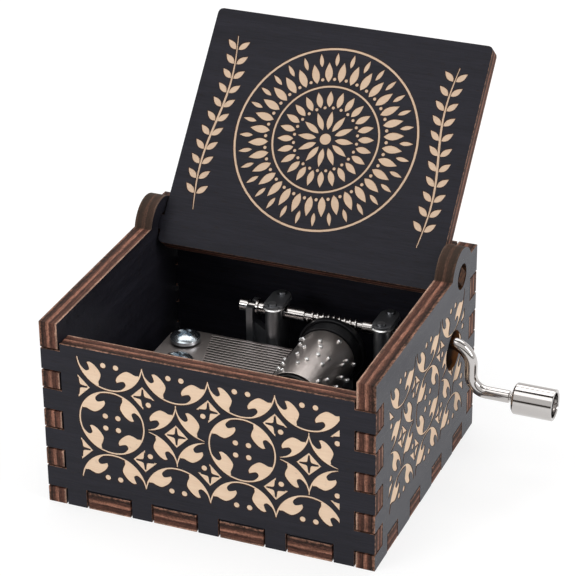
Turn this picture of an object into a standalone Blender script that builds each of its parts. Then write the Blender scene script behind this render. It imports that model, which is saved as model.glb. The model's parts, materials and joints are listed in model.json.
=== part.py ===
"""Hand-cranked wooden music box: a finger-jointed plywood case with a lid on wooden
tabs, holding an eighteen-note movement: bedplate, comb, pinned drum with a face gear,
and a worm shaft that a bent wire crank turns from outside.

Metres, +Z up. The origin is the centre of the case's underside. +X is the crank's
side, -Y is the front. The lid stands open against the back panel.
"""
import bmesh
import bpy
from math import asin, atan, cos, degrees, pi, radians, sin
from mathutils import Matrix, Vector

MM = 0.001

# Case of plywood, outside sizes
CASE_WIDTH = 64.0 * MM
CASE_DEPTH = 54.4 * MM
PLY = 3.6 * MM
SIDE_HEIGHT = 37.7 * MM
FRONT_BELOW_SIDES = 3.9 * MM
BACK_ABOVE_SIDES = 1.1 * MM
KERF = 0.3 * MM

# Finger joints
SIDE_FINGER = 3.7 * MM
WALL_FINGER = 4.5 * MM
LOWEST_FRONT_FINGER = 3.3 * MM
LOWEST_REAR_FINGER = 4.25 * MM
FRONT_TAB_COUNT = 4
FRONT_TAB_WIDTH = 8.8 * MM
FRONT_TAB_MARGIN = 4.35 * MM
SIDE_TAB_COUNT = 4
SIDE_TAB_WIDTH = 5.3 * MM
SIDE_TAB_MARGIN = 2.95 * MM

# Lid and its wooden pivots
PIVOT_BEFORE_BACK = 8.75 * MM
PIVOT_BELOW_BACK_TOP = 2.5 * MM
EAR_RADIUS = 5.6 * MM
PIVOT_HOLE_RADIUS = 2.5 * MM
LID_BEHIND_FRONT = 1.45 * MM
LID_BEHIND_PIVOT = 4.0 * MM
LID_CORNER_RADIUS = 1.0 * MM
LID_SIDE_GAP = 0.35 * MM
LID_LEAN = radians(41.5)
PIVOT_TAB_WIDTH = 2.9 * MM

# Hole for the crank in the right side panel
CRANK_HOLE_RADIUS = 3.9 * MM
CRANK_HOLE_BEFORE_SHAFT = 0.5 * MM
CRANK_HOLE_BELOW_SHAFT = 1.3 * MM

# Gap between pieces that touch, and running clearance of a shaft in its bearing
SEAT = 0.3 * MM
RUNNING = 0.25 * MM

# Bedplate casting
BED_THICKNESS = 2.2 * MM
BED_LEFT = -23.0 * MM
BED_RIGHT = 22.5 * MM
BED_FRONT = -10.6 * MM
BED_REAR = 19.2 * MM
BED_CORNER_RADIUS = 3.0 * MM
BED_BOTTOM = PLY + SEAT
BED_TOP = BED_BOTTOM + BED_THICKNESS
SUNK = 0.5 * MM
COMB_BLOCK_SETBACK = 0.4 * MM

# Drum and its arbor, along Y
DRUM_X = 8.5 * MM
DRUM_Z = 19.0 * MM
DRUM_RADIUS = 5.7 * MM
DRUM_WALL = 0.8 * MM
DRUM_REAR = 9.7 * MM
DRUM_END_MARGIN = 0.5 * MM
PIN_HEIGHT = 0.7 * MM
PIN_RADIUS = 0.26 * MM
PINS_PER_ROW = 3
ARBOR_RADIUS = 1.0 * MM
ARBOR_OVERHANG = 0.5 * MM
PLUG_FLANGE = 0.6 * MM
PLUG_SPIGOT = 2.6 * MM
POST_THICKNESS = 2.0 * MM
POST_RADIUS = 2.8 * MM

# Comb
TEETH = 18
TOOTH_PITCH = 0.9 * MM
SLOT_WIDTH = 0.32 * MM
COMB_THICKNESS = 1.0 * MM
COMB_REAR = 9.6 * MM
COMB_LEFT = -22.3 * MM
COMB_CHAMFER = 2.4 * MM
LONGEST_TOOTH = 16.6 * MM
TOOTH_LENGTH_STEP = 0.22 * MM
COMB_SCREW_PLACES = ((-18.4 * MM, 5.2 * MM), (-16.1 * MM, -3.4 * MM))
COMB_SCREW_HEAD_RADIUS = 2.9 * MM
COMB_SCREW_HEAD_HEIGHT = 1.7 * MM
COMB_SCREW_SHANK_RADIUS = 1.1 * MM
COMB_SCREW_SHANK_LENGTH = 6.2 * MM
RECESS_LENGTH = 3.0 * MM
RECESS_WIDTH = 0.7 * MM
RECESS_DEPTH = 0.9 * MM

# Face gear on the drum's rear end
GEAR_TEETH = 30
GEAR_DISC_RADIUS = 6.7 * MM
GEAR_DISC_THICKNESS = 1.0 * MM
GEAR_RIM_WIDTH = 0.5 * MM
GEAR_RIM_HEIGHT = 0.25 * MM
GEAR_FLANGE_RADIUS = 6.0 * MM
GEAR_FLANGE_THICKNESS = 2.3 * MM
GEAR_HUB_RADIUS = 2.6 * MM
GEAR_TOOTH_HEIGHT = 0.45 * MM
GEAR_TOOTH_WIDTH = 0.25 * MM
GEAR_TOOTH_INNER = 4.85 * MM
GEAR_TOOTH_OUTER = 5.5 * MM

# Worm shaft, along X behind the gear
SHAFT_Y = 14.8 * MM
SHAFT_Z = 24.2 * MM
SHAFT_RADIUS = 1.2 * MM
WORM_TURNS_LEFT_OF_DRUM = 5
WORM_TURNS = 9.5
WORM_SIDES = 12
WORM_RELIEF = 0.3 * MM
WORM_CREST_RADIUS = 1.3 * MM
WORM_ROOT_RADIUS = 0.85 * MM
WORM_CREST_SHARE = 0.2
WORM_FLANK_SHARE = 0.2
SHAFT_LEFT = -10.9 * MM
NECK_LEFT = -9.2 * MM
NECK_LENGTH = 1.7 * MM
NECK_RADIUS = 0.75 * MM
THRUST_DISC_THICKNESS = 0.55 * MM
THRUST_DISC_RADIUS = 1.65 * MM
SHAFT_RIGHT = 25.0 * MM
SOCKET_RADIUS = 0.85 * MM
SOCKET_DEPTH = 3.6 * MM

# Pillars, thrust arm and straps that carry the worm shaft
PILLAR_LEFT_X = -3.4 * MM
PILLAR_RIGHT_X = 18.5 * MM
PILLAR_WIDTH = 3.1 * MM
PILLAR_LENGTH = 7.2 * MM
PILLAR_PROUD = 1.3 * MM
ARM_THICKNESS = 1.3 * MM
ARM_DEPTH = 4.4 * MM
ARM_PROUD = 0.7 * MM
WEB_HIGH = 21.6 * MM
WEB_LOW = 18.2 * MM
WEB_THICKNESS = 1.6 * MM
STRAP_WIDTH = 3.7 * MM
STRAP_LENGTH = 7.7 * MM
STRAP_THICKNESS = 0.8 * MM
STAKE_RADIUS = 0.75 * MM
STAKE_SPACING = 5.1 * MM
STAKE_PROUD = 0.45 * MM
STAKE_CLEARANCE = 0.2 * MM

# Crank of bent wire and its knob
WIRE_RADIUS = 1.2 * MM
WIRE_SPIGOT_RADIUS = 0.6 * MM
ARM_BEYOND_CASE = 3.4 * MM
UPPER_BEND_RADIUS = 4.0 * MM
LOWER_BEND_RADIUS = 3.2 * MM
CRANK_THROW = 9.2 * MM
SPINDLE_RADIUS = 0.75 * MM
PEEN_RADIUS = 1.2 * MM
PEEN_LENGTH = 0.5 * MM
KNOB_BEYOND_ARM = 8.6 * MM
KNOB_LENGTH = 7.8 * MM
KNOB_RADIUS = 3.0 * MM
KNOB_WALL = 0.6 * MM
KNOB_END_WALL = 5.4 * MM
KNOB_ROUNDING = 0.5 * MM
NECK_GROOVE = 0.9 * MM
WASHER_RADIUS = 1.8 * MM
WASHER_THICKNESS = 0.4 * MM

# Screws up through the floor into the bedplate
FLOOR_SCREW_PLACES = ((-7.6 * MM, -6.6 * MM), (16.8 * MM, -6.6 * MM), (-15.0 * MM, 14.6 * MM))
FLOOR_SCREW_HEAD_RADIUS = 2.4 * MM
FLOOR_SCREW_SHANK_RADIUS = 1.1 * MM
FLOOR_SCREW_SUNK = 0.3 * MM
FLOOR_SCREW_LENGTH = 6.6 * MM
BOSS_RADIUS = 3.0 * MM
BOSS_HEIGHT = 2.0 * MM

# Worked out from the sizes above
HALF_WIDTH = CASE_WIDTH / 2
HALF_DEPTH = CASE_DEPTH / 2
INSIDE_HALF_WIDTH = HALF_WIDTH - PLY
INSIDE_HALF_DEPTH = HALF_DEPTH - PLY
FRONT_HEIGHT = SIDE_HEIGHT - FRONT_BELOW_SIDES
BACK_HEIGHT = SIDE_HEIGHT + BACK_ABOVE_SIDES
PIVOT_Y = HALF_DEPTH - PIVOT_BEFORE_BACK
PIVOT_Z = BACK_HEIGHT - PIVOT_BELOW_BACK_TOP
LID_BEYOND_PIVOT = PIVOT_Y + HALF_DEPTH - LID_BEHIND_FRONT
CRANK_HOLE_Y = SHAFT_Y - CRANK_HOLE_BEFORE_SHAFT
CRANK_HOLE_Z = SHAFT_Z - CRANK_HOLE_BELOW_SHAFT
ARM_X = HALF_WIDTH + ARM_BEYOND_CASE
KNOB_LEFT = ARM_X + KNOB_BEYOND_ARM
COMB_FRONT = COMB_REAR - TEETH * TOOTH_PITCH
DRUM_FRONT = COMB_FRONT - DRUM_END_MARGIN
COMB_TIP_X = DRUM_X - DRUM_RADIUS - PIN_HEIGHT - RUNNING
COMB_TOP = DRUM_Z + COMB_THICKNESS / 2
COMB_BOTTOM = COMB_TOP - COMB_THICKNESS
GEAR_FRONT = DRUM_REAR + SEAT
DISC_FRONT = GEAR_FRONT + GEAR_FLANGE_THICKNESS
DISC_REAR = DISC_FRONT + GEAR_DISC_THICKNESS
GEAR_BORE_RADIUS = ARBOR_RADIUS + RUNNING
MESH_RADIUS = SHAFT_Z - DRUM_Z
WORM_PITCH = 2 * pi * MESH_RADIUS / GEAR_TEETH
WORM_LEAD_ANGLE = atan(WORM_PITCH / (pi * (WORM_CREST_RADIUS + WORM_ROOT_RADIUS)))
WORM_START = DRUM_X - WORM_TURNS_LEFT_OF_DRUM * WORM_PITCH
WORM_END = WORM_START + WORM_TURNS * WORM_PITCH
PILLAR_TOP = SHAFT_Z + PILLAR_PROUD
STRAP_BOTTOM = PILLAR_TOP + SEAT
POST_FRONT_Y = DRUM_FRONT - SEAT - PLUG_FLANGE - SEAT - POST_THICKNESS / 2
POST_REAR_Y = SHAFT_Y + WORM_CREST_RADIUS + 2 * SEAT + POST_THICKNESS / 2
GEAR_HUB_REAR = POST_REAR_Y - POST_THICKNESS / 2 - SEAT
KNOB_Z = SHAFT_Z - CRANK_THROW
WASHER_LEFT = KNOB_LEFT + KNOB_END_WALL + SEAT
PEEN_LEFT = WASHER_LEFT + WASHER_THICKNESS + SEAT

STAINED_PLY = ("stained_plywood", (0.045, 0.045, 0.055), 0.55, 0.0)
CASTING = ("die_cast_metal", (0.09, 0.09, 0.095), 0.45, 0.8)
SPRING_STEEL = ("comb_steel", (0.30, 0.28, 0.27), 0.4, 0.9)
ZINC = ("zinc_plated_steel", (0.62, 0.65, 0.68), 0.25, 1.0)
NICKEL = ("nickel_plated_steel", (0.75, 0.74, 0.72), 0.15, 1.0)
DRUM_METAL = ("drum_metal", (0.42, 0.39, 0.36), 0.3, 1.0)
BLACK_PLASTIC = ("black_plastic", (0.015, 0.015, 0.017), 0.4, 0.0)


def clear_scene():
    for old in list(bpy.data.objects):
        bpy.data.objects.remove(old, do_unlink=True)


def collection(name):
    made = bpy.data.collections.new(name)
    bpy.context.scene.collection.children.link(made)
    return made


def material(finish):
    name, colour, roughness, metallic = finish
    found = bpy.data.materials.get(name)
    if found:
        return found
    made = bpy.data.materials.new(name)
    made.use_nodes = True
    shader = made.node_tree.nodes["Principled BSDF"]
    shader.inputs["Base Color"].default_value = (*colour, 1.0)
    shader.inputs["Roughness"].default_value = roughness
    shader.inputs["Metallic"].default_value = metallic
    return made


def add_part(part, finish):
    """Put a finished piece into the part's collection with its material."""
    parts.objects.link(part)
    part.data.materials.append(material(finish))
    return part


def add_cutter(cutter):
    cutters.objects.link(cutter)
    cutter.hide_render = True
    cutter.display_type = "WIRE"
    return cutter


def mesh_object(name, bm):
    mesh = bpy.data.meshes.new(name)
    bm.to_mesh(mesh)
    bm.free()
    return bpy.data.objects.new(name, mesh)


def arc(centre, radius, start, end, steps):
    """Points along an arc, both ends included. Angles in degrees."""
    span = end - start
    turns = [radians(start + span * step / steps) for step in range(steps + 1)]
    return [(centre[0] + radius * cos(turn), centre[1] + radius * sin(turn)) for turn in turns]


def circle(centre, radius, sides):
    return arc(centre, radius, 0, 360, sides)[:-1]


def rounded_box(left, right, low, high, radius, steps=3):
    """Outline of a rectangle with round corners, counter-clockwise."""
    return (
        arc((right - radius, low + radius), radius, -90, 0, steps)
        + arc((right - radius, high - radius), radius, 0, 90, steps)
        + arc((left + radius, high - radius), radius, 90, 180, steps)
        + arc((left + radius, low + radius), radius, 180, 270, steps)
    )


def flat_curve(name, outlines, thickness):
    """A flat piece: closed outlines, the first the edge and the rest holes."""
    curve = bpy.data.curves.new(name, "CURVE")
    curve.dimensions = "2D"
    curve.fill_mode = "BOTH"
    curve.extrude = thickness / 2
    for outline in outlines:
        spline = curve.splines.new("POLY")
        spline.points.add(len(outline) - 1)
        for point, (x, y) in zip(spline.points, outline):
            point.co = (x, y, 0, 1)
        spline.use_cyclic_u = True
    return bpy.data.objects.new(name, curve)


def to_mesh(curve_object, flat=True):
    """The curve's solid as a mesh object under the same name and place. A flat
    piece's top and bottom, which the curve fills with slivers, become one face each."""
    holder = bpy.context.scene.collection
    holder.objects.link(curve_object)
    bpy.context.view_layer.update()
    evaluated = curve_object.evaluated_get(bpy.context.evaluated_depsgraph_get())
    mesh = bpy.data.meshes.new_from_object(evaluated)
    bm = bmesh.new()
    bm.from_mesh(mesh)
    bmesh.ops.remove_doubles(bm, verts=bm.verts, dist=0.001 * MM)
    if flat:
        for side in (-1, 1):
            ends = [face for face in bm.faces if all(side * corner.co.z > 0 for corner in face.verts)]
            bmesh.ops.dissolve_faces(bm, faces=ends)
    bmesh.ops.recalc_face_normals(bm, faces=bm.faces)
    bm.to_mesh(mesh)
    bm.free()
    place = curve_object.matrix_world.copy()
    name = curve_object.name
    curve = curve_object.data
    bpy.data.objects.remove(curve_object)
    bpy.data.curves.remove(curve)
    made = bpy.data.objects.new(name, mesh)
    made.matrix_world = place
    return made


def slab(name, outline, low, high):
    """A mesh block: an outline in XY from one height to another."""
    block = flat_curve(name, [outline], high - low)
    block.location.z = (low + high) / 2
    return to_mesh(block)


def lay_along(part, axis, place):
    """Turn a piece made about local Z so that it lies along an axis at a place."""
    if axis == "X":
        part.rotation_euler = (0, pi / 2, 0)
    if axis == "Y":
        part.rotation_euler = (-pi / 2, 0, 0)
    part.location = place
    return part


def turned(name, profile, sides, closed=False):
    """A turned piece about local Z. The profile holds (radius, height) and runs
    down the outer side; closed joins its ends, for a ring or a tube."""
    bm = bmesh.new()
    points = [bm.verts.new((radius, 0, height)) for radius, height in profile]
    pairs = list(zip(points, points[1:]))
    if closed:
        pairs.append((points[-1], points[0]))
    for start, end in pairs:
        bm.edges.new((start, end))
    part = mesh_object(name, bm)
    screw = part.modifiers.new("Turn", "SCREW")
    screw.steps = sides
    screw.render_steps = sides
    screw.use_merge_vertices = True
    screw.merge_threshold = 0.001 * MM
    weld = part.modifiers.new("Weld axis", "WELD")
    weld.merge_threshold = 0.001 * MM
    return part


def combine(part, other, operation):
    boolean = part.modifiers.new(operation.title(), "BOOLEAN")
    boolean.operation = operation
    boolean.object = other
    boolean.solver = "EXACT"


def add_to(part, other):
    combine(part, add_cutter(other), "UNION")


def cut_from(part, other):
    combine(part, add_cutter(other), "DIFFERENCE")


def smooth(part, angle=35):
    part.data.shade_smooth()
    part.data.set_sharp_from_angle(angle=radians(angle))


def corner_heights(lowest, wall_height):
    """Heights at which a corner's fingers change over between the side and the front
    or back wall. The lowest finger is the side's."""
    pair_height = WALL_FINGER + SIDE_FINGER
    heights = []
    for pair in range(int((wall_height - lowest + SIDE_FINGER) / pair_height)):
        height = lowest + pair * pair_height
        heights += [height, height + WALL_FINGER]
    return heights


def edge_up(heights, top, finger, outer, inner):
    """Points up a fingered edge. Half a kerf is taken off each finger's sides."""
    points = [(outer if finger else inner, 0)]
    for height in heights:
        height += -KERF / 2 if finger else KERF / 2
        points.append((outer if finger else inner, height))
        finger = not finger
        points.append((outer if finger else inner, height))
    return points + [(outer if finger else inner, top)]


def tab_centres(count, width, margin, inside_half):
    """Middles of a row of tabs, the outer ones a margin from the inner corners."""
    first = margin + width / 2 - inside_half
    pitch = -2 * first / (count - 1)
    return [first + place * pitch for place in range(count)]


def front_tab_centres():
    return tab_centres(FRONT_TAB_COUNT, FRONT_TAB_WIDTH, FRONT_TAB_MARGIN, INSIDE_HALF_WIDTH)


def side_tab_centres():
    return tab_centres(SIDE_TAB_COUNT, SIDE_TAB_WIDTH, SIDE_TAB_MARGIN, INSIDE_HALF_DEPTH)


def notched_bottom(centres, tab_width):
    """Points along a panel's bottom edge, left to right, with a notch for each tab."""
    half = (tab_width + KERF) / 2
    points = []
    for centre in centres:
        points += [
            (centre - half, 0),
            (centre - half, PLY + KERF),
            (centre + half, PLY + KERF),
            (centre + half, 0),
        ]
    return points


def wall_outline(height, lowest_finger):
    """Front or back panel, seen from the front: X and Z."""
    heights = corner_heights(lowest_finger, height)
    right = edge_up(heights, height, False, HALF_WIDTH, INSIDE_HALF_WIDTH - KERF)
    left = [(-x, z) for x, z in reversed(right)]
    bottom = notched_bottom(front_tab_centres(), FRONT_TAB_WIDTH)
    return bottom + right + left


def ear_outline():
    """The top edge of a side from its rear end to its front: rear flat, the round
    ear about the lid's pivot, and the level top."""
    rear_angle = degrees(asin((BACK_HEIGHT - PIVOT_Z) / EAR_RADIUS))
    front_angle = 180 - degrees(asin((SIDE_HEIGHT - PIVOT_Z) / EAR_RADIUS))
    return arc((PIVOT_Y, PIVOT_Z), EAR_RADIUS, rear_angle, front_angle, 14)


def side_outline():
    """Side panel, seen from the right: Y and Z."""
    rear_heights = corner_heights(LOWEST_REAR_FINGER, BACK_HEIGHT)
    rear = edge_up(rear_heights, BACK_HEIGHT, True, HALF_DEPTH, INSIDE_HALF_DEPTH - KERF)
    front_heights = corner_heights(LOWEST_FRONT_FINGER, FRONT_HEIGHT)
    front = edge_up(front_heights, SIDE_HEIGHT, True, -HALF_DEPTH, -INSIDE_HALF_DEPTH + KERF)
    bottom = notched_bottom(side_tab_centres(), SIDE_TAB_WIDTH)
    return bottom + rear + ear_outline() + list(reversed(front))


def tabbed_side(along, tabs, tab_width, inner, outer):
    """One side of the floor: points (along the side, out from the middle)."""
    points = [(-along, inner)]
    for centre in tabs:
        points += [
            (centre - tab_width / 2, inner),
            (centre - tab_width / 2, outer),
            (centre + tab_width / 2, outer),
            (centre + tab_width / 2, inner),
        ]
    return points


def floor_outline():
    inside_x = INSIDE_HALF_WIDTH - KERF
    inside_y = INSIDE_HALF_DEPTH - KERF
    wide = tabbed_side(inside_x, front_tab_centres(), FRONT_TAB_WIDTH - KERF, inside_y, HALF_DEPTH)
    deep = tabbed_side(inside_y, side_tab_centres(), SIDE_TAB_WIDTH - KERF, inside_x, HALF_WIDTH)
    front = [(x, -y) for x, y in wide]
    right = [(out, along) for along, out in deep]
    back = [(-x, y) for x, y in wide]
    left = [(-out, -along) for along, out in deep]
    return front + right + back + left


def make_wall(name, outline, holes, facing, middle):
    wall = flat_curve(name, [outline] + holes, PLY)
    if facing == "Y":
        wall.rotation_euler = (pi / 2, 0, 0)
        wall.location = (0, middle, 0)
    if facing == "X":
        wall.rotation_euler = (pi / 2, 0, pi / 2)
        wall.location = (middle, 0, 0)
    return add_part(wall, STAINED_PLY)


def screw_cutter(name, place, profile):
    cutter = turned(name, profile, 20)
    cutter.location = (place[0], place[1], 0)
    return cutter


def make_floor():
    panel = flat_curve("floor_panel", [floor_outline()], PLY)
    panel.location.z = PLY / 2
    panel = add_part(to_mesh(panel), STAINED_PLY)
    head = FLOOR_SCREW_HEAD_RADIUS + SEAT
    shank = FLOOR_SCREW_SHANK_RADIUS + SEAT
    for number, place in enumerate(FLOOR_SCREW_PLACES, 1):
        sink = FLOOR_SCREW_SUNK + head - shank
        profile = [(0, PLY + SUNK), (shank, PLY + SUNK), (shank, sink),
                   (head, FLOOR_SCREW_SUNK), (head, -SUNK), (0, -SUNK)]
        cut_from(panel, screw_cutter(f"floor_screw_hole_{number}", place, profile))


def make_case():
    side_middle = HALF_WIDTH - PLY / 2
    wall_middle = HALF_DEPTH - PLY / 2
    pivot_hole = circle((PIVOT_Y, PIVOT_Z), PIVOT_HOLE_RADIUS, 28)
    crank_hole = circle((CRANK_HOLE_Y, CRANK_HOLE_Z), CRANK_HOLE_RADIUS, 32)
    make_floor()
    make_wall("front_panel", wall_outline(FRONT_HEIGHT, LOWEST_FRONT_FINGER), [], "Y", -wall_middle)
    make_wall("back_panel", wall_outline(BACK_HEIGHT, LOWEST_REAR_FINGER), [], "Y", wall_middle)
    make_wall("left_side_panel", side_outline(), [pivot_hole], "X", -side_middle)
    make_wall("right_side_panel", side_outline(), [pivot_hole, crank_hole], "X", side_middle)


def make_lid():
    """The lid's own frame: X across, Y along it from the pivot, Z towards its inside."""
    half = INSIDE_HALF_WIDTH - LID_SIDE_GAP
    tab_end = HALF_WIDTH
    tab = PIVOT_TAB_WIDTH / 2
    radius = LID_CORNER_RADIUS
    right = (
        arc((half - radius, -LID_BEHIND_PIVOT + radius), radius, -90, 0, 3)
        + [(half, -tab), (tab_end, -tab), (tab_end, tab), (half, tab)]
        + arc((half - radius, LID_BEYOND_PIVOT - radius), radius, 0, 90, 3)
    )
    left = [(-x, y) for x, y in reversed(right)]
    lid = flat_curve("lid", [right + left], PLY)
    lid.location = (0, PIVOT_Y, PIVOT_Z)
    lid.rotation_euler = (pi / 2 - LID_LEAN, 0, 0)
    add_part(lid, STAINED_PLY)


def tooth_root_x(row):
    """Left end of a tooth: the rear teeth, for the low notes, are the longest."""
    return COMB_TIP_X - LONGEST_TOOTH + row * TOOTH_LENGTH_STEP


def comb_outline():
    """Seen from above: the back edge at the left, the teeth to the right."""
    points = [(COMB_LEFT, COMB_FRONT + COMB_CHAMFER), (COMB_LEFT + COMB_CHAMFER, COMB_FRONT)]
    for row in reversed(range(TEETH)):
        rear = COMB_REAR - row * TOOTH_PITCH
        front = rear - TOOTH_PITCH
        low = front + (SLOT_WIDTH / 2 if row < TEETH - 1 else 0)
        high = rear - (SLOT_WIDTH / 2 if row > 0 else 0)
        points += [(COMB_TIP_X, low), (COMB_TIP_X, high)]
        if row > 0:
            root = tooth_root_x(row)
            points += [(root, high), (root, high + SLOT_WIDTH)]
    return points + [(COMB_LEFT + COMB_CHAMFER, COMB_REAR), (COMB_LEFT, COMB_REAR - COMB_CHAMFER)]


def make_comb():
    hole = COMB_SCREW_SHANK_RADIUS + SEAT
    holes = [circle(place, hole, 16) for place in COMB_SCREW_PLACES]
    comb = flat_curve("comb", [comb_outline()] + holes, COMB_THICKNESS)
    comb.location.z = COMB_TOP - COMB_THICKNESS / 2
    add_part(comb, SPRING_STEEL)


def make_comb_screw(name, place):
    """Pan head with a cross recess. Local Z up, origin under the head."""
    rim = COMB_SCREW_HEAD_RADIUS
    height = COMB_SCREW_HEAD_HEIGHT
    skirt = 0.45 * height
    dome = [(rim * cos(radians(angle)), skirt + (height - skirt) * sin(radians(angle)))
            for angle in (90, 72, 54, 36, 18)]
    dome[0] = (0, height)
    profile = dome + [(rim, skirt), (rim, 0), (COMB_SCREW_SHANK_RADIUS, 0),
                      (COMB_SCREW_SHANK_RADIUS, -COMB_SCREW_SHANK_LENGTH),
                      (0, -COMB_SCREW_SHANK_LENGTH)]
    screw = turned(name, profile, 24)
    seat = COMB_TOP + SEAT
    screw.location = (place[0], place[1], seat)
    add_part(screw, ZINC)
    smooth(screw)
    long, wide = RECESS_LENGTH / 2, RECESS_WIDTH / 2
    cross = [(long, -wide), (long, wide), (wide, wide), (wide, long), (-wide, long), (-wide, wide),
             (-long, wide), (-long, -wide), (-wide, -wide), (-wide, -long), (wide, -long), (wide, -wide)]
    recess = slab(f"{name}_recess", cross, seat + height - RECESS_DEPTH, seat + height + SUNK)
    recess.location.x = place[0]
    recess.location.y = place[1]
    cut_from(screw, recess)


def pin_angle(row, turn):
    """Angle of a pin round the drum, in degrees: a plain spread, no tune."""
    spacing = 360 / PINS_PER_ROW
    return turn * spacing + row * 47 + 9 * ((row * row + 3 * turn) % 5)


def pin_group():
    """All pins as hexagonal pegs, standing through the drum's wall."""
    bm = bmesh.new()
    sunk = DRUM_WALL / 2
    length = PIN_HEIGHT + sunk
    for row in range(TEETH):
        along = COMB_REAR - (row + 0.5) * TOOTH_PITCH
        for turn in range(PINS_PER_ROW):
            angle = radians(pin_angle(row, turn))
            outward = Vector((cos(angle), 0, sin(angle)))
            middle = outward * (DRUM_RADIUS - sunk + length / 2) + Vector((0, along, 0))
            place = Matrix.Translation(middle) @ outward.to_track_quat("Z", "Y").to_matrix().to_4x4()
            bmesh.ops.create_cone(bm, cap_ends=True, segments=5, radius1=PIN_RADIUS,
                                  radius2=PIN_RADIUS, depth=length, matrix=place)
    pins = mesh_object("drum_pins", bm)
    pins.location = (DRUM_X, 0, DRUM_Z)
    return pins


def make_drum():
    inner = DRUM_RADIUS - DRUM_WALL
    profile = [(DRUM_RADIUS, DRUM_REAR), (DRUM_RADIUS, DRUM_FRONT), (inner, DRUM_FRONT), (inner, DRUM_REAR)]
    drum = add_part(turned("drum", profile, 40, closed=True), DRUM_METAL)
    lay_along(drum, "Y", (DRUM_X, 0, DRUM_Z))
    smooth(drum)
    add_to(drum, pin_group())


def make_drum_plug():
    """Front end plug: a flange over the drum's end and a spigot inside it."""
    spigot = DRUM_RADIUS - DRUM_WALL - SEAT
    flange_rear = DRUM_FRONT - SEAT
    spigot_rear = DRUM_FRONT + PLUG_SPIGOT
    flange_front = flange_rear - PLUG_FLANGE
    rim = DRUM_RADIUS - SEAT
    profile = [(GEAR_BORE_RADIUS, spigot_rear), (spigot, spigot_rear), (spigot, flange_rear),
               (rim, flange_rear), (rim, flange_front), (GEAR_BORE_RADIUS, flange_front)]
    plug = add_part(turned("drum_end_plug", profile, 32, closed=True), BLACK_PLASTIC)
    lay_along(plug, "Y", (DRUM_X, 0, DRUM_Z))
    smooth(plug)


def gear_teeth():
    """Ridges on the gear's rear face, turned from the radius by the worm's lead angle.
    Straight up lies a gap between two."""
    bm = bmesh.new()
    sunk = GEAR_DISC_THICKNESS / 2
    height = GEAR_TOOTH_HEIGHT + sunk
    length = GEAR_TOOTH_OUTER - GEAR_TOOTH_INNER
    middle = Vector(((GEAR_TOOTH_OUTER + GEAR_TOOTH_INNER) / 2, 0, DISC_REAR - sunk + height / 2))
    for tooth in range(GEAR_TEETH):
        spin = Matrix.Rotation(2 * pi * (tooth + 0.5) / GEAR_TEETH - pi / 2, 4, "Z")
        size = Matrix.Diagonal((length, GEAR_TOOTH_WIDTH, height, 1))
        place = spin @ Matrix.Translation(middle) @ Matrix.Rotation(-WORM_LEAD_ANGLE, 4, "Z")
        bmesh.ops.create_cube(bm, size=1, matrix=place @ size)
    teeth = mesh_object("gear_teeth", bm)
    return lay_along(teeth, "Y", (DRUM_X, 0, DRUM_Z))


def make_gear():
    """Moulded gear: spigot in the drum, flange, disc with a raised rim, rear hub."""
    spigot = DRUM_RADIUS - DRUM_WALL - SEAT
    rim_inner = GEAR_DISC_RADIUS - GEAR_RIM_WIDTH
    profile = [
        (GEAR_BORE_RADIUS, GEAR_HUB_REAR), (GEAR_HUB_RADIUS, GEAR_HUB_REAR),
        (GEAR_HUB_RADIUS, DISC_REAR), (GEAR_DISC_RADIUS, DISC_REAR),
        (GEAR_DISC_RADIUS, DISC_FRONT - GEAR_RIM_HEIGHT), (rim_inner, DISC_FRONT - GEAR_RIM_HEIGHT),
        (rim_inner, DISC_FRONT), (GEAR_FLANGE_RADIUS, DISC_FRONT),
        (GEAR_FLANGE_RADIUS, GEAR_FRONT), (spigot, GEAR_FRONT),
        (spigot, DRUM_REAR - PLUG_SPIGOT), (GEAR_BORE_RADIUS, DRUM_REAR - PLUG_SPIGOT),
    ]
    gear = add_part(turned("drum_gear", profile, 40, closed=True), BLACK_PLASTIC)
    lay_along(gear, "Y", (DRUM_X, 0, DRUM_Z))
    smooth(gear)
    add_to(gear, gear_teeth())


def make_arbor():
    front = POST_FRONT_Y - POST_THICKNESS / 2 - ARBOR_OVERHANG
    rear = POST_REAR_Y + POST_THICKNESS / 2 + ARBOR_OVERHANG
    chamfer = 0.2 * ARBOR_RADIUS
    profile = [(0, rear), (ARBOR_RADIUS - chamfer, rear), (ARBOR_RADIUS, rear - chamfer),
               (ARBOR_RADIUS, front + chamfer), (ARBOR_RADIUS - chamfer, front), (0, front)]
    arbor = add_part(turned("drum_arbor", profile, 16), NICKEL)
    lay_along(arbor, "Y", (DRUM_X, 0, DRUM_Z))
    smooth(arbor)


def worm_thread():
    """The right-hand thread as one helical ridge, sunk into the shaft. Its crest
    faces the gear (-Y) at the drum's own X, where the gear has a gap."""
    crest = WORM_CREST_SHARE * WORM_PITCH / 2
    foot = crest + WORM_FLANK_SHARE * WORM_PITCH
    sunk = WORM_ROOT_RADIUS / 2
    steps = round(WORM_TURNS * WORM_SIDES)
    section = ((sunk, -foot), (WORM_ROOT_RADIUS, -foot), (WORM_CREST_RADIUS, -crest),
               (WORM_CREST_RADIUS, crest), (WORM_ROOT_RADIUS, foot), (sunk, foot))
    bm = bmesh.new()
    corners = [bm.verts.new((0, -radius, WORM_START + along)) for radius, along in section]
    start = bm.faces.new(corners)
    bmesh.ops.spin(bm, geom=[start] + start.edges[:] + corners, cent=(0, 0, 0), axis=(0, 0, 1),
                   dvec=(0, 0, WORM_PITCH / WORM_SIDES), angle=2 * pi * WORM_TURNS, steps=steps)
    bmesh.ops.recalc_face_normals(bm, faces=bm.faces)
    return mesh_object("worm_thread", bm)


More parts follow.
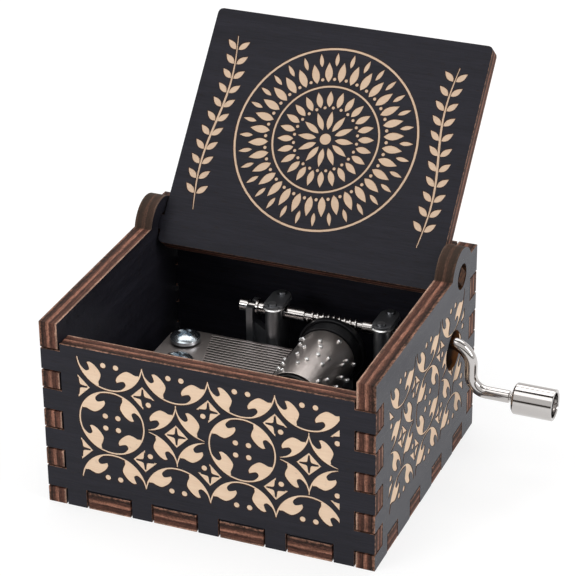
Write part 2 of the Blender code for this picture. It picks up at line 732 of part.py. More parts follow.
def make_worm_shaft():
    """Left end first in the case, but the profile runs from the right end down."""
    relief = WORM_RELIEF + (WORM_CREST_SHARE / 2 + WORM_FLANK_SHARE) * WORM_PITCH
    worm_right = WORM_END + relief
    worm_left = WORM_START - relief
    disc_left = NECK_LEFT + NECK_LENGTH
    profile = [
        (0, SHAFT_RIGHT - SOCKET_DEPTH), (SOCKET_RADIUS, SHAFT_RIGHT - SOCKET_DEPTH),
        (SOCKET_RADIUS, SHAFT_RIGHT), (SHAFT_RADIUS, SHAFT_RIGHT),
        (SHAFT_RADIUS, worm_right), (WORM_ROOT_RADIUS, worm_right),
        (WORM_ROOT_RADIUS, worm_left), (SHAFT_RADIUS, worm_left),
        (SHAFT_RADIUS, disc_left + THRUST_DISC_THICKNESS),
        (THRUST_DISC_RADIUS, disc_left + THRUST_DISC_THICKNESS),
        (THRUST_DISC_RADIUS, disc_left), (NECK_RADIUS, disc_left),
        (NECK_RADIUS, NECK_LEFT), (SHAFT_RADIUS, NECK_LEFT),
        (SHAFT_RADIUS, SHAFT_LEFT), (0, SHAFT_LEFT),
    ]
    shaft = add_part(turned("worm_shaft", profile, 20), NICKEL)
    lay_along(shaft, "X", (0, SHAFT_Y, SHAFT_Z))
    smooth(shaft)
    add_to(shaft, lay_along(worm_thread(), "X", (0, SHAFT_Y, SHAFT_Z)))


def gather(name, pieces):
    """Several closed shapes as one mesh object in world space."""
    bm = bmesh.new()
    for piece in pieces:
        mesh = piece.data
        place = piece.matrix_basis.copy()
        mesh.transform(place)
        bm.from_mesh(mesh)
        bpy.data.objects.remove(piece)
        bpy.data.meshes.remove(mesh)
    return mesh_object(name, bm)


def stadium(centre_x, centre_y, width, length):
    """Outline in plan of a bar along Y with round ends."""
    radius = width / 2
    half = length / 2 - radius
    return (arc((centre_x, centre_y + half), radius, 0, 180, 10)
            + arc((centre_x, centre_y - half), radius, 180, 360, 10))


def comb_block_outline():
    """The raised seat under the comb. Its right side follows the roots of the teeth."""
    rear_root = tooth_root_x(0) - COMB_BLOCK_SETBACK
    front_root = tooth_root_x(TEETH - 1) - COMB_BLOCK_SETBACK
    return [(COMB_LEFT, COMB_FRONT + COMB_CHAMFER), (COMB_LEFT + COMB_CHAMFER, COMB_FRONT),
            (front_root, COMB_FRONT), (rear_root, COMB_REAR),
            (COMB_LEFT + COMB_CHAMFER, COMB_REAR), (COMB_LEFT, COMB_REAR - COMB_CHAMFER)]


def post_outline():
    """A bearing post seen from the front, with a round head about the arbor."""
    foot = BED_TOP - SUNK
    return [(DRUM_X + POST_RADIUS, foot)] + arc((DRUM_X, DRUM_Z), POST_RADIUS, 0, 180, 14) + [
        (DRUM_X - POST_RADIUS, foot)]


def fork_outline():
    """The thrust arm seen from the right: a fork that straddles the shaft's neck."""
    half = ARM_DEPTH / 2
    slot = NECK_RADIUS + RUNNING
    top = SHAFT_Z + ARM_PROUD
    foot = BED_TOP - SUNK
    return [(SHAFT_Y - half, foot), (SHAFT_Y + half, foot), (SHAFT_Y + half, top), (SHAFT_Y + slot, top)] + (
        arc((SHAFT_Y, SHAFT_Z), slot, 0, -180, 12)) + [(SHAFT_Y - slot, top), (SHAFT_Y - half, top)]


def plate_facing(name, outline, axis, middle, thickness):
    """A mesh plate whose outline is in XZ (facing Y) or in YZ (facing X)."""
    plate = flat_curve(name, [outline], thickness)
    plate.rotation_euler = (pi / 2, 0, 0) if axis == "Y" else (pi / 2, 0, pi / 2)
    plate.location = (0, middle, 0) if axis == "Y" else (middle, 0, 0)
    return to_mesh(plate)


def peg(name, x, y, radius, low, high, sides=20):
    return slab(name, circle((x, y), radius, sides), low, high)


def bed_uprights():
    """Everything that stands on the bedplate and doesn't touch its neighbours."""
    foot = BED_TOP - SUNK
    standing = [slab("comb_block", comb_block_outline(), foot, COMB_BOTTOM - SEAT)]
    for pillar_x in (PILLAR_LEFT_X, PILLAR_RIGHT_X):
        outline = stadium(pillar_x, SHAFT_Y, PILLAR_WIDTH, PILLAR_LENGTH)
        standing.append(slab("pillar", outline, foot, PILLAR_TOP))
    for post_y in (POST_FRONT_Y, POST_REAR_Y):
        standing.append(plate_facing("post", post_outline(), "Y", post_y, POST_THICKNESS))
    for x, y in FLOOR_SCREW_PLACES:
        standing.append(peg("boss", x, y, BOSS_RADIUS, foot, BED_TOP + BOSS_HEIGHT))
    arm_x = NECK_LEFT + NECK_LENGTH / 2
    standing.append(plate_facing("thrust_arm", fork_outline(), "X", arm_x, ARM_THICKNESS))
    return gather("bed_uprights", standing)


def web_outline():
    """The gusset between the thrust arm and the left pillar, seen from the front."""
    foot = BED_TOP - SUNK
    arm_x = NECK_LEFT + NECK_LENGTH / 2
    return [(arm_x, foot), (PILLAR_LEFT_X, foot), (PILLAR_LEFT_X, WEB_LOW), (arm_x, WEB_HIGH)]


def pillar_stakes():
    """The studs on the pillars that come up through the straps."""
    stakes = []
    top = STRAP_BOTTOM + STRAP_THICKNESS + STAKE_PROUD
    for pillar_x in (PILLAR_LEFT_X, PILLAR_RIGHT_X):
        for side in (-1, 1):
            place_y = SHAFT_Y + side * STAKE_SPACING / 2
            stakes.append(peg("stake", pillar_x, place_y, STAKE_RADIUS, PILLAR_TOP - SUNK, top, 16))
    return gather("pillar_stakes", stakes)


def saddle_outline():
    """The open slot for the shaft, seen from the right."""
    slot = SHAFT_RADIUS + RUNNING
    top = PILLAR_TOP + SUNK
    return arc((SHAFT_Y, SHAFT_Z), slot, 180, 360, 14) + [(SHAFT_Y + slot, top), (SHAFT_Y - slot, top)]


def bed_holes():
    """Bores for the arbor, the comb's screws and the floor's screws."""
    comb_hole_bottom = COMB_TOP + SEAT - COMB_SCREW_SHANK_LENGTH - SEAT
    floor_hole_top = FLOOR_SCREW_SUNK + SEAT + FLOOR_SCREW_LENGTH + SEAT
    shank = COMB_SCREW_SHANK_RADIUS + SEAT
    holes = [peg("comb_hole", x, y, shank, comb_hole_bottom, COMB_BOTTOM) for x, y in COMB_SCREW_PLACES]
    shank = FLOOR_SCREW_SHANK_RADIUS + SEAT
    holes += [peg("floor_hole", x, y, shank, BED_BOTTOM - SUNK, floor_hole_top)
              for x, y in FLOOR_SCREW_PLACES]
    bore = circle((DRUM_X, DRUM_Z), ARBOR_RADIUS + RUNNING, 20)
    length = POST_THICKNESS + 2 * SUNK
    holes += [plate_facing("arbor_bore", bore, "Y", post_y, length) for post_y in (POST_FRONT_Y, POST_REAR_Y)]
    return gather("bed_holes", holes)


def make_bedplate():
    outline = rounded_box(BED_LEFT, BED_RIGHT, BED_FRONT, BED_REAR, BED_CORNER_RADIUS)
    bed = add_part(slab("bedplate", outline, BED_BOTTOM, BED_TOP), CASTING)
    add_to(bed, bed_uprights())
    add_to(bed, plate_facing("thrust_web", web_outline(), "Y", SHAFT_Y, WEB_THICKNESS))
    add_to(bed, pillar_stakes())
    for pillar_x in (PILLAR_LEFT_X, PILLAR_RIGHT_X):
        width = PILLAR_WIDTH + 2 * SUNK
        cut_from(bed, plate_facing("saddle", saddle_outline(), "X", pillar_x, width))
    cut_from(bed, bed_holes())


def make_strap(name, pillar_x):
    """Bearing cap held on a pillar's two staked studs."""
    hole = STAKE_RADIUS + STAKE_CLEARANCE
    outline = stadium(0, 0, STRAP_WIDTH, STRAP_LENGTH)
    holes = [circle((0, side * STAKE_SPACING / 2), hole, 16) for side in (-1, 1)]
    strap = flat_curve(name, [outline] + holes, STRAP_THICKNESS)
    strap.location = (pillar_x, SHAFT_Y, STRAP_BOTTOM + STRAP_THICKNESS / 2)
    add_part(strap, CASTING)


def wire_route():
    """Centre line of the crank's wire as (X, Z) from the worm shaft's axis."""
    upper = UPPER_BEND_RADIUS
    lower = LOWER_BEND_RADIUS
    return (
        [(SHAFT_RIGHT + SEAT, 0)]
        + arc((ARM_X - upper, -upper), upper, 90, 0, 8)
        + arc((ARM_X + lower, -CRANK_THROW + lower), lower, 180, 270, 8)
        + [(KNOB_LEFT - NECK_GROOVE, -CRANK_THROW)]
    )


def make_crank():
    """Bent wire with a spigot for the shaft's socket and a spindle for the knob."""
    curve = bpy.data.curves.new("crank_arm", "CURVE")
    curve.dimensions = "3D"
    curve.bevel_depth = WIRE_RADIUS
    curve.bevel_resolution = 4
    curve.use_fill_caps = True
    route = wire_route()
    spline = curve.splines.new("POLY")
    spline.points.add(len(route) - 1)
    for point, (x, z) in zip(spline.points, route):
        point.co = (x, 0, z, 1)
    wire = bpy.data.objects.new("crank_arm", curve)
    wire.location = (0, SHAFT_Y, SHAFT_Z)
    crank = add_part(to_mesh(wire, flat=False), NICKEL)
    smooth(crank)
    spigot_left = SHAFT_RIGHT - SOCKET_DEPTH + SEAT
    spigot_right = SHAFT_RIGHT + SEAT + SUNK
    spigot = turned("crank_spigot", [(0, spigot_right), (WIRE_SPIGOT_RADIUS, spigot_right),
                                     (WIRE_SPIGOT_RADIUS, spigot_left), (0, spigot_left)], 16)
    add_to(crank, lay_along(spigot, "X", (0, SHAFT_Y, SHAFT_Z)))
    left = KNOB_LEFT - NECK_GROOVE - SUNK
    spindle = turned("crank_spindle", [(0, PEEN_LEFT + PEEN_LENGTH), (PEEN_RADIUS, PEEN_LEFT + PEEN_LENGTH),
                                       (PEEN_RADIUS, PEEN_LEFT), (SPINDLE_RADIUS, PEEN_LEFT),
                                       (SPINDLE_RADIUS, left), (0, left)], 16)
    add_to(crank, lay_along(spindle, "X", (0, SHAFT_Y, KNOB_Z)))


def make_knob():
    """A turned cup, open at the right. Local Z runs from its left face."""
    bore = SPINDLE_RADIUS + RUNNING
    inner = KNOB_RADIUS - KNOB_WALL
    edge = KNOB_WALL / 3
    rounded = arc((KNOB_RADIUS - KNOB_ROUNDING, KNOB_ROUNDING), KNOB_ROUNDING, 0, -90, 4)
    profile = [(KNOB_RADIUS - edge, KNOB_LENGTH), (KNOB_RADIUS, KNOB_LENGTH - edge)] + rounded + [
        (bore, 0), (bore, KNOB_END_WALL), (inner, KNOB_END_WALL), (inner, KNOB_LENGTH)]
    knob = add_part(turned("crank_knob", profile, 36, closed=True), NICKEL)
    lay_along(knob, "X", (KNOB_LEFT, SHAFT_Y, KNOB_Z))
    smooth(knob)
    profile = [(WASHER_RADIUS, WASHER_THICKNESS), (WASHER_RADIUS, 0), (bore, 0), (bore, WASHER_THICKNESS)]
    washer = add_part(turned("knob_washer", profile, 24, closed=True), ZINC)
    lay_along(washer, "X", (WASHER_LEFT, SHAFT_Y, KNOB_Z))
    smooth(washer)


def make_floor_screw(name, place):
    """Countersunk screw, head down. Its flat face is local zero."""
    head = FLOOR_SCREW_HEAD_RADIUS
    shank = FLOOR_SCREW_SHANK_RADIUS
    profile = [(0, FLOOR_SCREW_LENGTH), (shank, FLOOR_SCREW_LENGTH), (shank, head - shank), (head, 0), (0, 0)]
    screw = add_part(turned(name, profile, 20), ZINC)
    screw.location = (place[0], place[1], FLOOR_SCREW_SUNK + SEAT)
    smooth(screw)


clear_scene()
parts = collection("music_box")
cutters = collection("cutters")

make_case()
make_lid()
make_bedplate()
make_comb()
make_comb_screw("comb_screw_rear", COMB_SCREW_PLACES[0])
make_comb_screw("comb_screw_front", COMB_SCREW_PLACES[1])
make_drum()
make_drum_plug()
make_gear()
make_arbor()
make_worm_shaft()
make_strap("left_bearing_strap", PILLAR_LEFT_X)
make_strap("right_bearing_strap", PILLAR_RIGHT_X)
make_crank()
make_knob()
for number, place in enumerate(FLOOR_SCREW_PLACES, 1):
    make_floor_screw(f"floor_screw_{number}", place)
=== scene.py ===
# Looks of the hand-cranked music box: stained plywood with an engraved scroll pattern,
# and the finishes of the movement and its crank. Metres, +Z up, in the model's own frame.
import json
from math import atan, atan2, cos, hypot, pi, radians, sin

import bmesh
import bpy
from mathutils import Matrix, Vector


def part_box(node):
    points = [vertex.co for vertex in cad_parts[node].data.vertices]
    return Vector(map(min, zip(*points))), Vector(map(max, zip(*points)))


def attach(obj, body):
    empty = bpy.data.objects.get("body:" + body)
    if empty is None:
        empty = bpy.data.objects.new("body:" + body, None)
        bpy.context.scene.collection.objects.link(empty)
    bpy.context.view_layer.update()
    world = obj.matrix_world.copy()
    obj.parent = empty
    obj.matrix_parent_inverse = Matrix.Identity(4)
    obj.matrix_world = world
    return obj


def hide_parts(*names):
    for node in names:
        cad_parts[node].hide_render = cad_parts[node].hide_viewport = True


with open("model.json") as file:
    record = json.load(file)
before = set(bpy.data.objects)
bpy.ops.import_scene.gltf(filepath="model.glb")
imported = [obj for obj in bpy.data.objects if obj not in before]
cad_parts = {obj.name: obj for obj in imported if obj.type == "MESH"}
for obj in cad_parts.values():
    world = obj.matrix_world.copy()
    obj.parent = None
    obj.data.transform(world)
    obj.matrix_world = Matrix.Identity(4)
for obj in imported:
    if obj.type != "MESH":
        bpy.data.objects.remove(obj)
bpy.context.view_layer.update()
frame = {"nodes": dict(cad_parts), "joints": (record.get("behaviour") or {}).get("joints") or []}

MM = 0.001
nodes = frame["nodes"]
joint_place = {joint["name"]: Vector(joint["pos_m"]) for joint in frame["joints"]}

# Camera, worked out from the case's corners in the photograph
CAMERA_PLACE = Vector((157.4, -372.192, 251.498)) * MM
CAMERA_TARGET = Vector((4.868, 0.0, 37.891)) * MM
CAMERA_ROLL = radians(-0.554)
CAMERA_LENS = 156.82
SENSOR = 36.0

# Boards
PLY = 3.6 * MM
EDGE_SOFTENING = 0.12 * MM
LID_LEAN = radians(41.5)
CRANK_HOLE_Y = 14.3 * MM
CRANK_HOLE_Z = 22.9 * MM
CRANK_HOLE_RADIUS = 3.9 * MM

# Engraving
ENGRAVED_DEPTH = 0.1 * MM
ENGRAVED_FLARE = 0.09 * MM
CUTTER_PROUD = 0.05 * MM

# Scroll pattern, in millimetres on the board
RING_RADIUS = 6.45
RING_STROKE = 0.27
RING_TAIL_SHORTER = 8
LEAF_NARROWED = 0.09
DOT_RADIUS = 0.52
DOT_SPREAD = 1.25
DIAMOND_REACH = 2.28
STAR_SIDE = [(0.15, 1.8), (0.3, 0.62), (0.4, 0.4), (0.62, 0.3), (1.8, 0.15)]
QUARTER_OVERLAP = 0.03

# Drum, gear and worm
DRUM_RADIUS = 5.7 * MM
DRUM_WALL = 0.8 * MM
DRUM_CHAMFER = 0.06 * MM
TEETH = 18
TOOTH_PITCH = 0.9 * MM
COMB_REAR = 9.6 * MM
LONGEST_TOOTH = 16.7 * MM
SLOT_WIDENED = 0.05 * MM
PINS_PER_ROW = 3
PIN_RADIUS = 0.42 * MM
PIN_HEIGHT = 0.42 * MM
PIN_ROUNDING = 0.12 * MM
GEAR_TEETH = 30
GEAR_FRONT = 10.0 * MM
GEAR_FLANGE_RADIUS = 6.0 * MM
GEAR_DISC_RADIUS = 6.7 * MM
GEAR_DISC_FRONT = 12.3 * MM
GEAR_DISC_REAR = 13.3 * MM
WORM_CREST_RADIUS = 1.3 * MM
WORM_ROOT_RADIUS = 0.85 * MM
WORM_TURNS = 9.5
WORM_TURNS_LEFT_OF_DRUM = 5
SHAFT_RADIUS = 1.2 * MM

# Crank and knob
WIRE_RADIUS = 1.2 * MM
SPINDLE_RADIUS = 0.75 * MM
CRANK_ARM_X = 35.4 * MM
UPPER_BEND_RADIUS = 4.0 * MM
LOWER_BEND_RADIUS = 3.2 * MM
WIRE_LEFT = 25.3 * MM
NECK_GROOVE = 0.9 * MM
KNOB_RADIUS = 3.0 * MM
KNOB_END_WALL = 5.4 * MM
KNOB_WALL = 0.6 * MM
PEEN_RADIUS = 1.2 * MM

# Straps and comb screws
STRAP_LIP = 0.2 * MM
HEAD_RADIUS = 2.9 * MM
HEAD_HEIGHT = 1.7 * MM
DOME_SPREAD = radians(42)
SKIRT_SHARE = 0.5
RECESS_TURN = radians(66)
COMB_SCREW_PLACES = {"comb_screw_rear": (-18.4 * MM, 5.2 * MM), "comb_screw_front": (-16.1 * MM, -3.4 * MM)}

# Finishes as linear colours
SLATE = (0.0095, 0.0093, 0.0138, 1)
SLATE_WORN = (0.021, 0.0203, 0.0285, 1)
CREAM = (0.93, 0.71, 0.52, 1)
CREAM_SHADED = (0.74, 0.5, 0.33, 1)
# Dark brown used as painted shade on the lid's engraved floor
PAINTED_SHADE_BROWN = (0.3, 0.19, 0.13, 1)
SCORCH = (0.1, 0.042, 0.02, 1)
CHAR = (0.012, 0.007, 0.005, 1)
BURNT_ORANGE = (0.16, 0.056, 0.014, 1)
SOOT = (0.034, 0.022, 0.015, 1)
PLY_STOPS = ((0.0, (0.32, 0.18, 0.125)), (0.08, (0.25, 0.12, 0.08)), (0.15, (0.03, 0.013, 0.009)),
             (0.36, (0.08, 0.034, 0.024)), (0.45, (0.23, 0.1, 0.065)), (0.54, (0.27, 0.125, 0.085)),
             (0.61, (0.05, 0.02, 0.014)), (0.88, (0.12, 0.05, 0.034)), (0.94, (0.36, 0.21, 0.15)),
             (1.0, (0.38, 0.24, 0.175)))


class Wiring:
    """Adds nodes to one tree and links them."""

    def __init__(self, tree):
        self.tree = tree

    def add(self, kind, feeds=None, **settings):
        node = self.tree.nodes.new("ShaderNode" + kind)
        for name, value in settings.items():
            setattr(node, name, value)
        for name, value in (feeds or {}).items():
            self.feed(node.inputs[name], value)
        return node

    def feed(self, socket, value):
        if isinstance(value, bpy.types.NodeSocket):
            self.tree.links.new(value, socket)
        else:
            socket.default_value = value

    def maths(self, operation, first, second=0.0, clamp=False):
        node = self.add("Math", {0: first, 1: second}, operation=operation, use_clamp=clamp)
        return node.outputs[0]

    def mix(self, factor, first, second, blend="MIX"):
        node = self.add("Mix", {0: factor, 6: first, 7: second}, data_type="RGBA", blend_type=blend)
        return node.outputs[2]

    def stretched(self, vector, scale):
        return self.add("VectorMath", {0: vector, 1: scale}, operation="MULTIPLY").outputs[0]

    def noise(self, vector, scale=1.0, detail=3.0, roughness=0.55):
        node = self.add("TexNoise", {"Vector": vector, "Scale": scale, "Detail": detail, "Roughness": roughness})
        return node.outputs[0]

    def between(self, value, low, high):
        """0 below low, 1 above high, and a smooth step between them."""
        node = self.add("MapRange", {"Value": value, "From Min": low, "From Max": high},
                        interpolation_type="SMOOTHSTEP")
        return node.outputs[0]

    def ramp(self, value, stops):
        """A colour read along a row of (place, colour) stops."""
        node = self.add("ValToRGB", {"Fac": value})
        elements = node.color_ramp.elements
        while len(elements) < len(stops):
            elements.new(0.5)
        for element, (place, colour) in zip(elements, stops):
            element.position = place
            element.color = (*colour, 1)
        return node.outputs[0]

    def bump(self, height, strength, distance):
        node = self.add("Bump", {"Height": height, "Strength": strength, "Distance": distance})
        return node.outputs[0]


def group(name, inputs, outputs, build):
    """A shared node group. build gets the wiring and the inputs by name, and returns outputs."""
    tree = bpy.data.node_groups.new(name, "ShaderNodeTree")
    for label, kind in inputs:
        tree.interface.new_socket(label, in_out="INPUT", socket_type=kind)
    for label, kind in outputs:
        tree.interface.new_socket(label, in_out="OUTPUT", socket_type=kind)
    wiring = Wiring(tree)
    entry = tree.nodes.new("NodeGroupInput")
    leave = tree.nodes.new("NodeGroupOutput")
    results = build(wiring, {label: entry.outputs[label] for label, kind in inputs})
    for (label, kind), result in zip(outputs, results):
        tree.links.new(result, leave.inputs[label])
    return tree


def place_group(wiring, tree, feeds):
    node = wiring.tree.nodes.new("ShaderNodeGroup")
    node.node_tree = tree
    for label, value in feeds.items():
        wiring.feed(node.inputs[label], value)
    return node.outputs


VECTOR = "NodeSocketVector"
VALUE = "NodeSocketFloat"
COLOUR = "NodeSocketColor"


def build_wood_grain(wiring, given):
    """Grain along X, in millimetres: broad bands, fine fibres and short dark pores."""
    vector = given["Vector"]
    bands = wiring.noise(wiring.stretched(vector, (0.03, 0.45, 0.45)), 1.0, 5.0, 0.6)
    fibres = wiring.noise(wiring.stretched(vector, (0.16, 3.2, 3.2)), 1.0, 4.0, 0.7)
    dots = wiring.noise(wiring.stretched(vector, (0.5, 7.0, 7.0)), 1.0, 1.0, 0.5)
    pores = wiring.between(dots, 0.62, 0.72)
    tone = wiring.maths("ADD", wiring.maths("MULTIPLY", bands, 0.45), wiring.maths("MULTIPLY", fibres, 0.55))
    tone = wiring.between(tone, 0.3, 0.7)
    height = wiring.maths("SUBTRACT", wiring.maths("MULTIPLY", fibres, 0.8), wiring.maths("MULTIPLY", pores, 0.5))
    return tone, pores, height


def build_sheet_layers(wiring, given):
    """Plies seen on a cut edge. Z runs out of the sheet from 0 at its outer face, in
    millimetres; Thickness is the sheet's."""
    vector = given["Vector"]
    depth = wiring.add("SeparateXYZ", {0: vector}).outputs[2]
    share = wiring.maths("DIVIDE", depth, wiring.maths("MULTIPLY", given["Thickness"], -1.0))
    wander = wiring.noise(wiring.stretched(vector, (0.25, 0.25, 0.25)), 1.0, 2.0)
    ragged = wiring.noise(wiring.stretched(vector, (2.6, 2.6, 1.2)), 1.0, 3.0, 0.7)
    offset = wiring.maths("ADD", wiring.maths("MULTIPLY", wander, 0.1), wiring.maths("MULTIPLY", ragged, 0.12))
    layer = wiring.maths("ADD", share, wiring.maths("SUBTRACT", offset, 0.11))
    colour = wiring.ramp(layer, PLY_STOPS)
    streaks = wiring.noise(wiring.stretched(vector, (0.2, 0.2, 4.0)), 1.0, 5.0, 0.7)
    light = wiring.add("MapRange", {"Value": streaks, "From Min": 0.32, "From Max": 0.68,
                                    "To Min": 0.35, "To Max": 1.75}).outputs[0]
    fibres = wiring.noise(wiring.stretched(vector, (0.9, 0.9, 8.0)), 1.0, 3.0, 0.7)
    grains = wiring.noise(wiring.stretched(vector, (3.0, 3.0, 4.0)), 1.0, 3.0, 0.7)
    rough = wiring.maths("ADD", wiring.maths("MULTIPLY", fibres, 0.5), wiring.maths("MULTIPLY", grains, 0.5))
    speck = wiring.add("MapRange", {"Value": rough, "From Min": 0.38, "From Max": 0.62,
                                    "To Min": 0.5, "To Max": 1.5}).outputs[0]
    light = wiring.maths("MULTIPLY", light, speck)
    colour = wiring.add("VectorMath", {0: colour, "Scale": light}, operation="SCALE").outputs[0]
    patches = wiring.noise(wiring.stretched(vector, (1.5, 1.5, 1.5)), 1.0, 4.0, 0.7)
    outside = wiring.maths("SUBTRACT", 1.0, wiring.between(share, 0.15, 0.5))
    charred = wiring.maths("MULTIPLY", wiring.between(patches, 0.47, 0.56), outside)
    broad = wiring.between(wiring.noise(vector, 0.35, 3.0), 0.5, 0.75)
    charred = wiring.maths("MAXIMUM", wiring.maths("MULTIPLY", charred, 0.8), wiring.maths("MULTIPLY", broad, 0.45))
    colour = wiring.mix(charred, colour, CHAR)
    height = wiring.maths("ADD", wiring.maths("MULTIPLY", streaks, 0.7), wiring.maths("MULTIPLY", ragged, 0.3))
    return colour, height


def build_brushed(wiring, given):
    """Fine parallel lines along X, and a slow cloud over them."""
    vector = given["Vector"]
    lines = wiring.noise(wiring.stretched(vector, (0.25, 14.0, 14.0)), 1.0, 3.0, 0.7)
    cloud = wiring.noise(vector, 0.35, 2.0)
    return lines, cloud


def build_speckle(wiring, given):
    """Fine pits and brighter grains of a cast or plated skin, and wear in patches."""
    vector = given["Vector"]
    fine = wiring.noise(vector, 9.0, 2.0, 0.6)
    pits = wiring.between(fine, 0.6, 0.72)
    cloud = wiring.noise(vector, 0.6, 4.0, 0.6)
    wear = wiring.between(cloud, 0.5, 0.72)
    return fine, pits, wear


WOOD_GRAIN = group("wood_grain", [("Vector", VECTOR)],
                   [("Tone", VALUE), ("Pores", VALUE), ("Height", VALUE)], build_wood_grain)
SHEET_LAYERS = group("sheet_layers", [("Vector", VECTOR), ("Thickness", VALUE)],
                     [("Colour", COLOUR), ("Height", VALUE)], build_sheet_layers)
BRUSHED = group("brushed", [("Vector", VECTOR)], [("Lines", VALUE), ("Cloud", VALUE)], build_brushed)
SPECKLE = group("speckle", [("Vector", VECTOR)],
                [("Fine", VALUE), ("Pits", VALUE), ("Wear", VALUE)], build_speckle)


def new_material(name):
    """An empty material: its wiring and its Principled shader."""
    made = bpy.data.materials.new(name)
    made.use_nodes = True
    shader = made.node_tree.nodes["Principled BSDF"]
    return made, Wiring(made.node_tree), shader


def millimetres(wiring, turn=None, origin=None):
    """Object coordinates in millimetres, turned into a board's or piece's own axes."""
    turn = turn or Matrix.Identity(3)
    origin = origin or Vector((0, 0, 0))
    mapping = wiring.add("Mapping", {
        "Vector": wiring.add("TexCoord").outputs["Object"],
        "Scale": (1 / MM, 1 / MM, 1 / MM),
        "Rotation": turn.to_euler(),
        "Location": -(turn @ origin) / MM,
    })
    return mapping.outputs[0]


def stained_face(name, spot, inside=False):
    """Black-stained veneer with a low satin sheen. On the faces inside the case the sheen is nearly off: this is
    painted shade, so those faces come out darker, standing in for the shade in the case.
    """
    made, wiring, shader = new_material(name)
    vector = millimetres(wiring, *spot)
    grain = place_group(wiring, WOOD_GRAIN, {"Vector": vector})
    colour = wiring.mix(grain["Tone"], SLATE, SLATE_WORN)
    colour = wiring.mix(wiring.maths("MULTIPLY", grain["Pores"], 0.8), colour, CHAR)
    wiring.feed(shader.inputs["Base Color"], colour)
    rough = wiring.maths("ADD", wiring.maths("MULTIPLY", grain["Tone"], 0.12), 0.38)
    wiring.feed(shader.inputs["Roughness"], rough)
    wiring.feed(shader.inputs["Normal"], wiring.bump(grain["Height"], 0.5, 0.05 * MM))
    shader.inputs["Specular IOR Level"].default_value = 0.15
    shader.inputs["Sheen Weight"].default_value = 0.05 if inside else 0.5
    shader.inputs["Sheen Roughness"].default_value = 0.3
    shader.inputs["Sheen Tint"].default_value = (0.9, 0.92, 1, 1)
    return made


def cut_edge(name, spot):
    """Laser-cut edge of the plywood: brown plies under char."""
    made, wiring, shader = new_material(name)
    vector = millimetres(wiring, *spot)
    layers = place_group(wiring, SHEET_LAYERS, {"Vector": vector, "Thickness": PLY / MM})
    colour = layers["Colour"]
    if "side" in name:
        pivot = joint_place["lid_hinge"] / MM
        ear = (right_high.z - joint_place["lid_hinge"].z) / MM
        place = wiring.add("SeparateXYZ", {0: millimetres(wiring)}).outputs
        back = wiring.maths("SUBTRACT", place[1], pivot.y)
        up = wiring.maths("SUBTRACT", place[2], pivot.z)
        reach = wiring.maths("SQRT", wiring.maths("ADD", wiring.maths("MULTIPLY", back, back),
                                                  wiring.maths("MULTIPLY", up, up)))
        slow = wiring.maths("SUBTRACT", 1.0, wiring.between(reach, ear + 0.1, ear + 0.7))
        colour = wiring.mix(wiring.maths("MULTIPLY", slow, 0.82), colour, SOOT)
    wiring.feed(shader.inputs["Base Color"], colour)
    wiring.feed(shader.inputs["Normal"], wiring.bump(layers["Height"], 0.7, 0.1 * MM))
    shader.inputs["Roughness"].default_value = 0.65
    shader.inputs["Specular IOR Level"].default_value = 0.15
    return made


def burnt_bore_with_painted_shade():
    """Scorched wall of the crank's hole: patches of char, with painted shade that turns it black towards its inner
    end.
    """
    made, wiring, shader = new_material("burnt_bore_with_painted_shade")
    vector = millimetres(wiring)
    patches = wiring.between(wiring.noise(wiring.stretched(vector, (1.6, 0.5, 0.5)), 1.0, 4.0), 0.4, 0.72)
    along = wiring.add("SeparateXYZ", {0: vector}).outputs[0]
    # Painted shade: the colour runs to char black with depth into the hole; the patches on top are real scorch.
    depth = wiring.maths("SUBTRACT", right_high.x / MM, along)
    char_and_depth_shade = wiring.maths("ADD", depth, wiring.maths("MULTIPLY", patches, 0.8))
    colour = wiring.mix(wiring.between(char_and_depth_shade, 0.2, 1.9), wiring.mix(patches, BURNT_ORANGE, SCORCH), CHAR)
    wiring.feed(shader.inputs["Base Color"], colour)
    wiring.feed(shader.inputs["Normal"], wiring.bump(patches, 0.4, 0.05 * MM))
    shader.inputs["Roughness"].default_value = 0.6
    shader.inputs["Specular IOR Level"].default_value = 0.15
    return made


def engraved_floor(name, spot, painted_shade):
    """Bare pale wood at the bottom of the engraving. The last argument is painted shade: how far the floor is pulled
    towards a dark brown, used on the lid to hold down the stronger light that falls on it.
    """
    made, wiring, shader = new_material(name)
    vector = millimetres(wiring, *spot)
    grain = place_group(wiring, WOOD_GRAIN, {"Vector": vector})
    colour = wiring.mix(wiring.maths("MULTIPLY", grain["Tone"], 0.45), CREAM, CREAM_SHADED)
    scorch = wiring.between(wiring.noise(vector, 0.9, 3.0), 0.62, 0.85)
    colour = wiring.mix(wiring.maths("MULTIPLY", scorch, 0.35), colour, SCORCH)
    wiring.feed(shader.inputs["Base Color"], wiring.mix(painted_shade, colour, PAINTED_SHADE_BROWN))
    wiring.feed(shader.inputs["Normal"], wiring.bump(grain["Height"], 0.4, 0.05 * MM))
    shader.inputs["Roughness"].default_value = 0.75
    shader.inputs["Specular IOR Level"].default_value = 0.2
    return made


def scorched_rim_and_hole_shade():
    """Burnt wall round each engraved shape. On the walls of the lid's pivot holes and the tab ends in them, the same
    dark finish is painted shade.
    """
    made, wiring, shader = new_material("scorched_rim_and_hole_shade")
    vector = millimetres(wiring)
    colour = wiring.mix(wiring.between(wiring.noise(vector, 1.6, 3.0), 0.3, 0.75), SCORCH, CHAR)
    wiring.feed(shader.inputs["Base Color"], colour)
    shader.inputs["Roughness"].default_value = 0.8
    shader.inputs["Specular IOR Level"].default_value = 0.1
    return made


def arc(centre, radius, start, end, steps):
    """Points along an arc, both ends included. Angles in degrees."""
    turns = [radians(start + (end - start) * step / steps) for step in range(steps + 1)]
    return [(centre[0] + radius * cos(turn), centre[1] + radius * sin(turn)) for turn in turns]


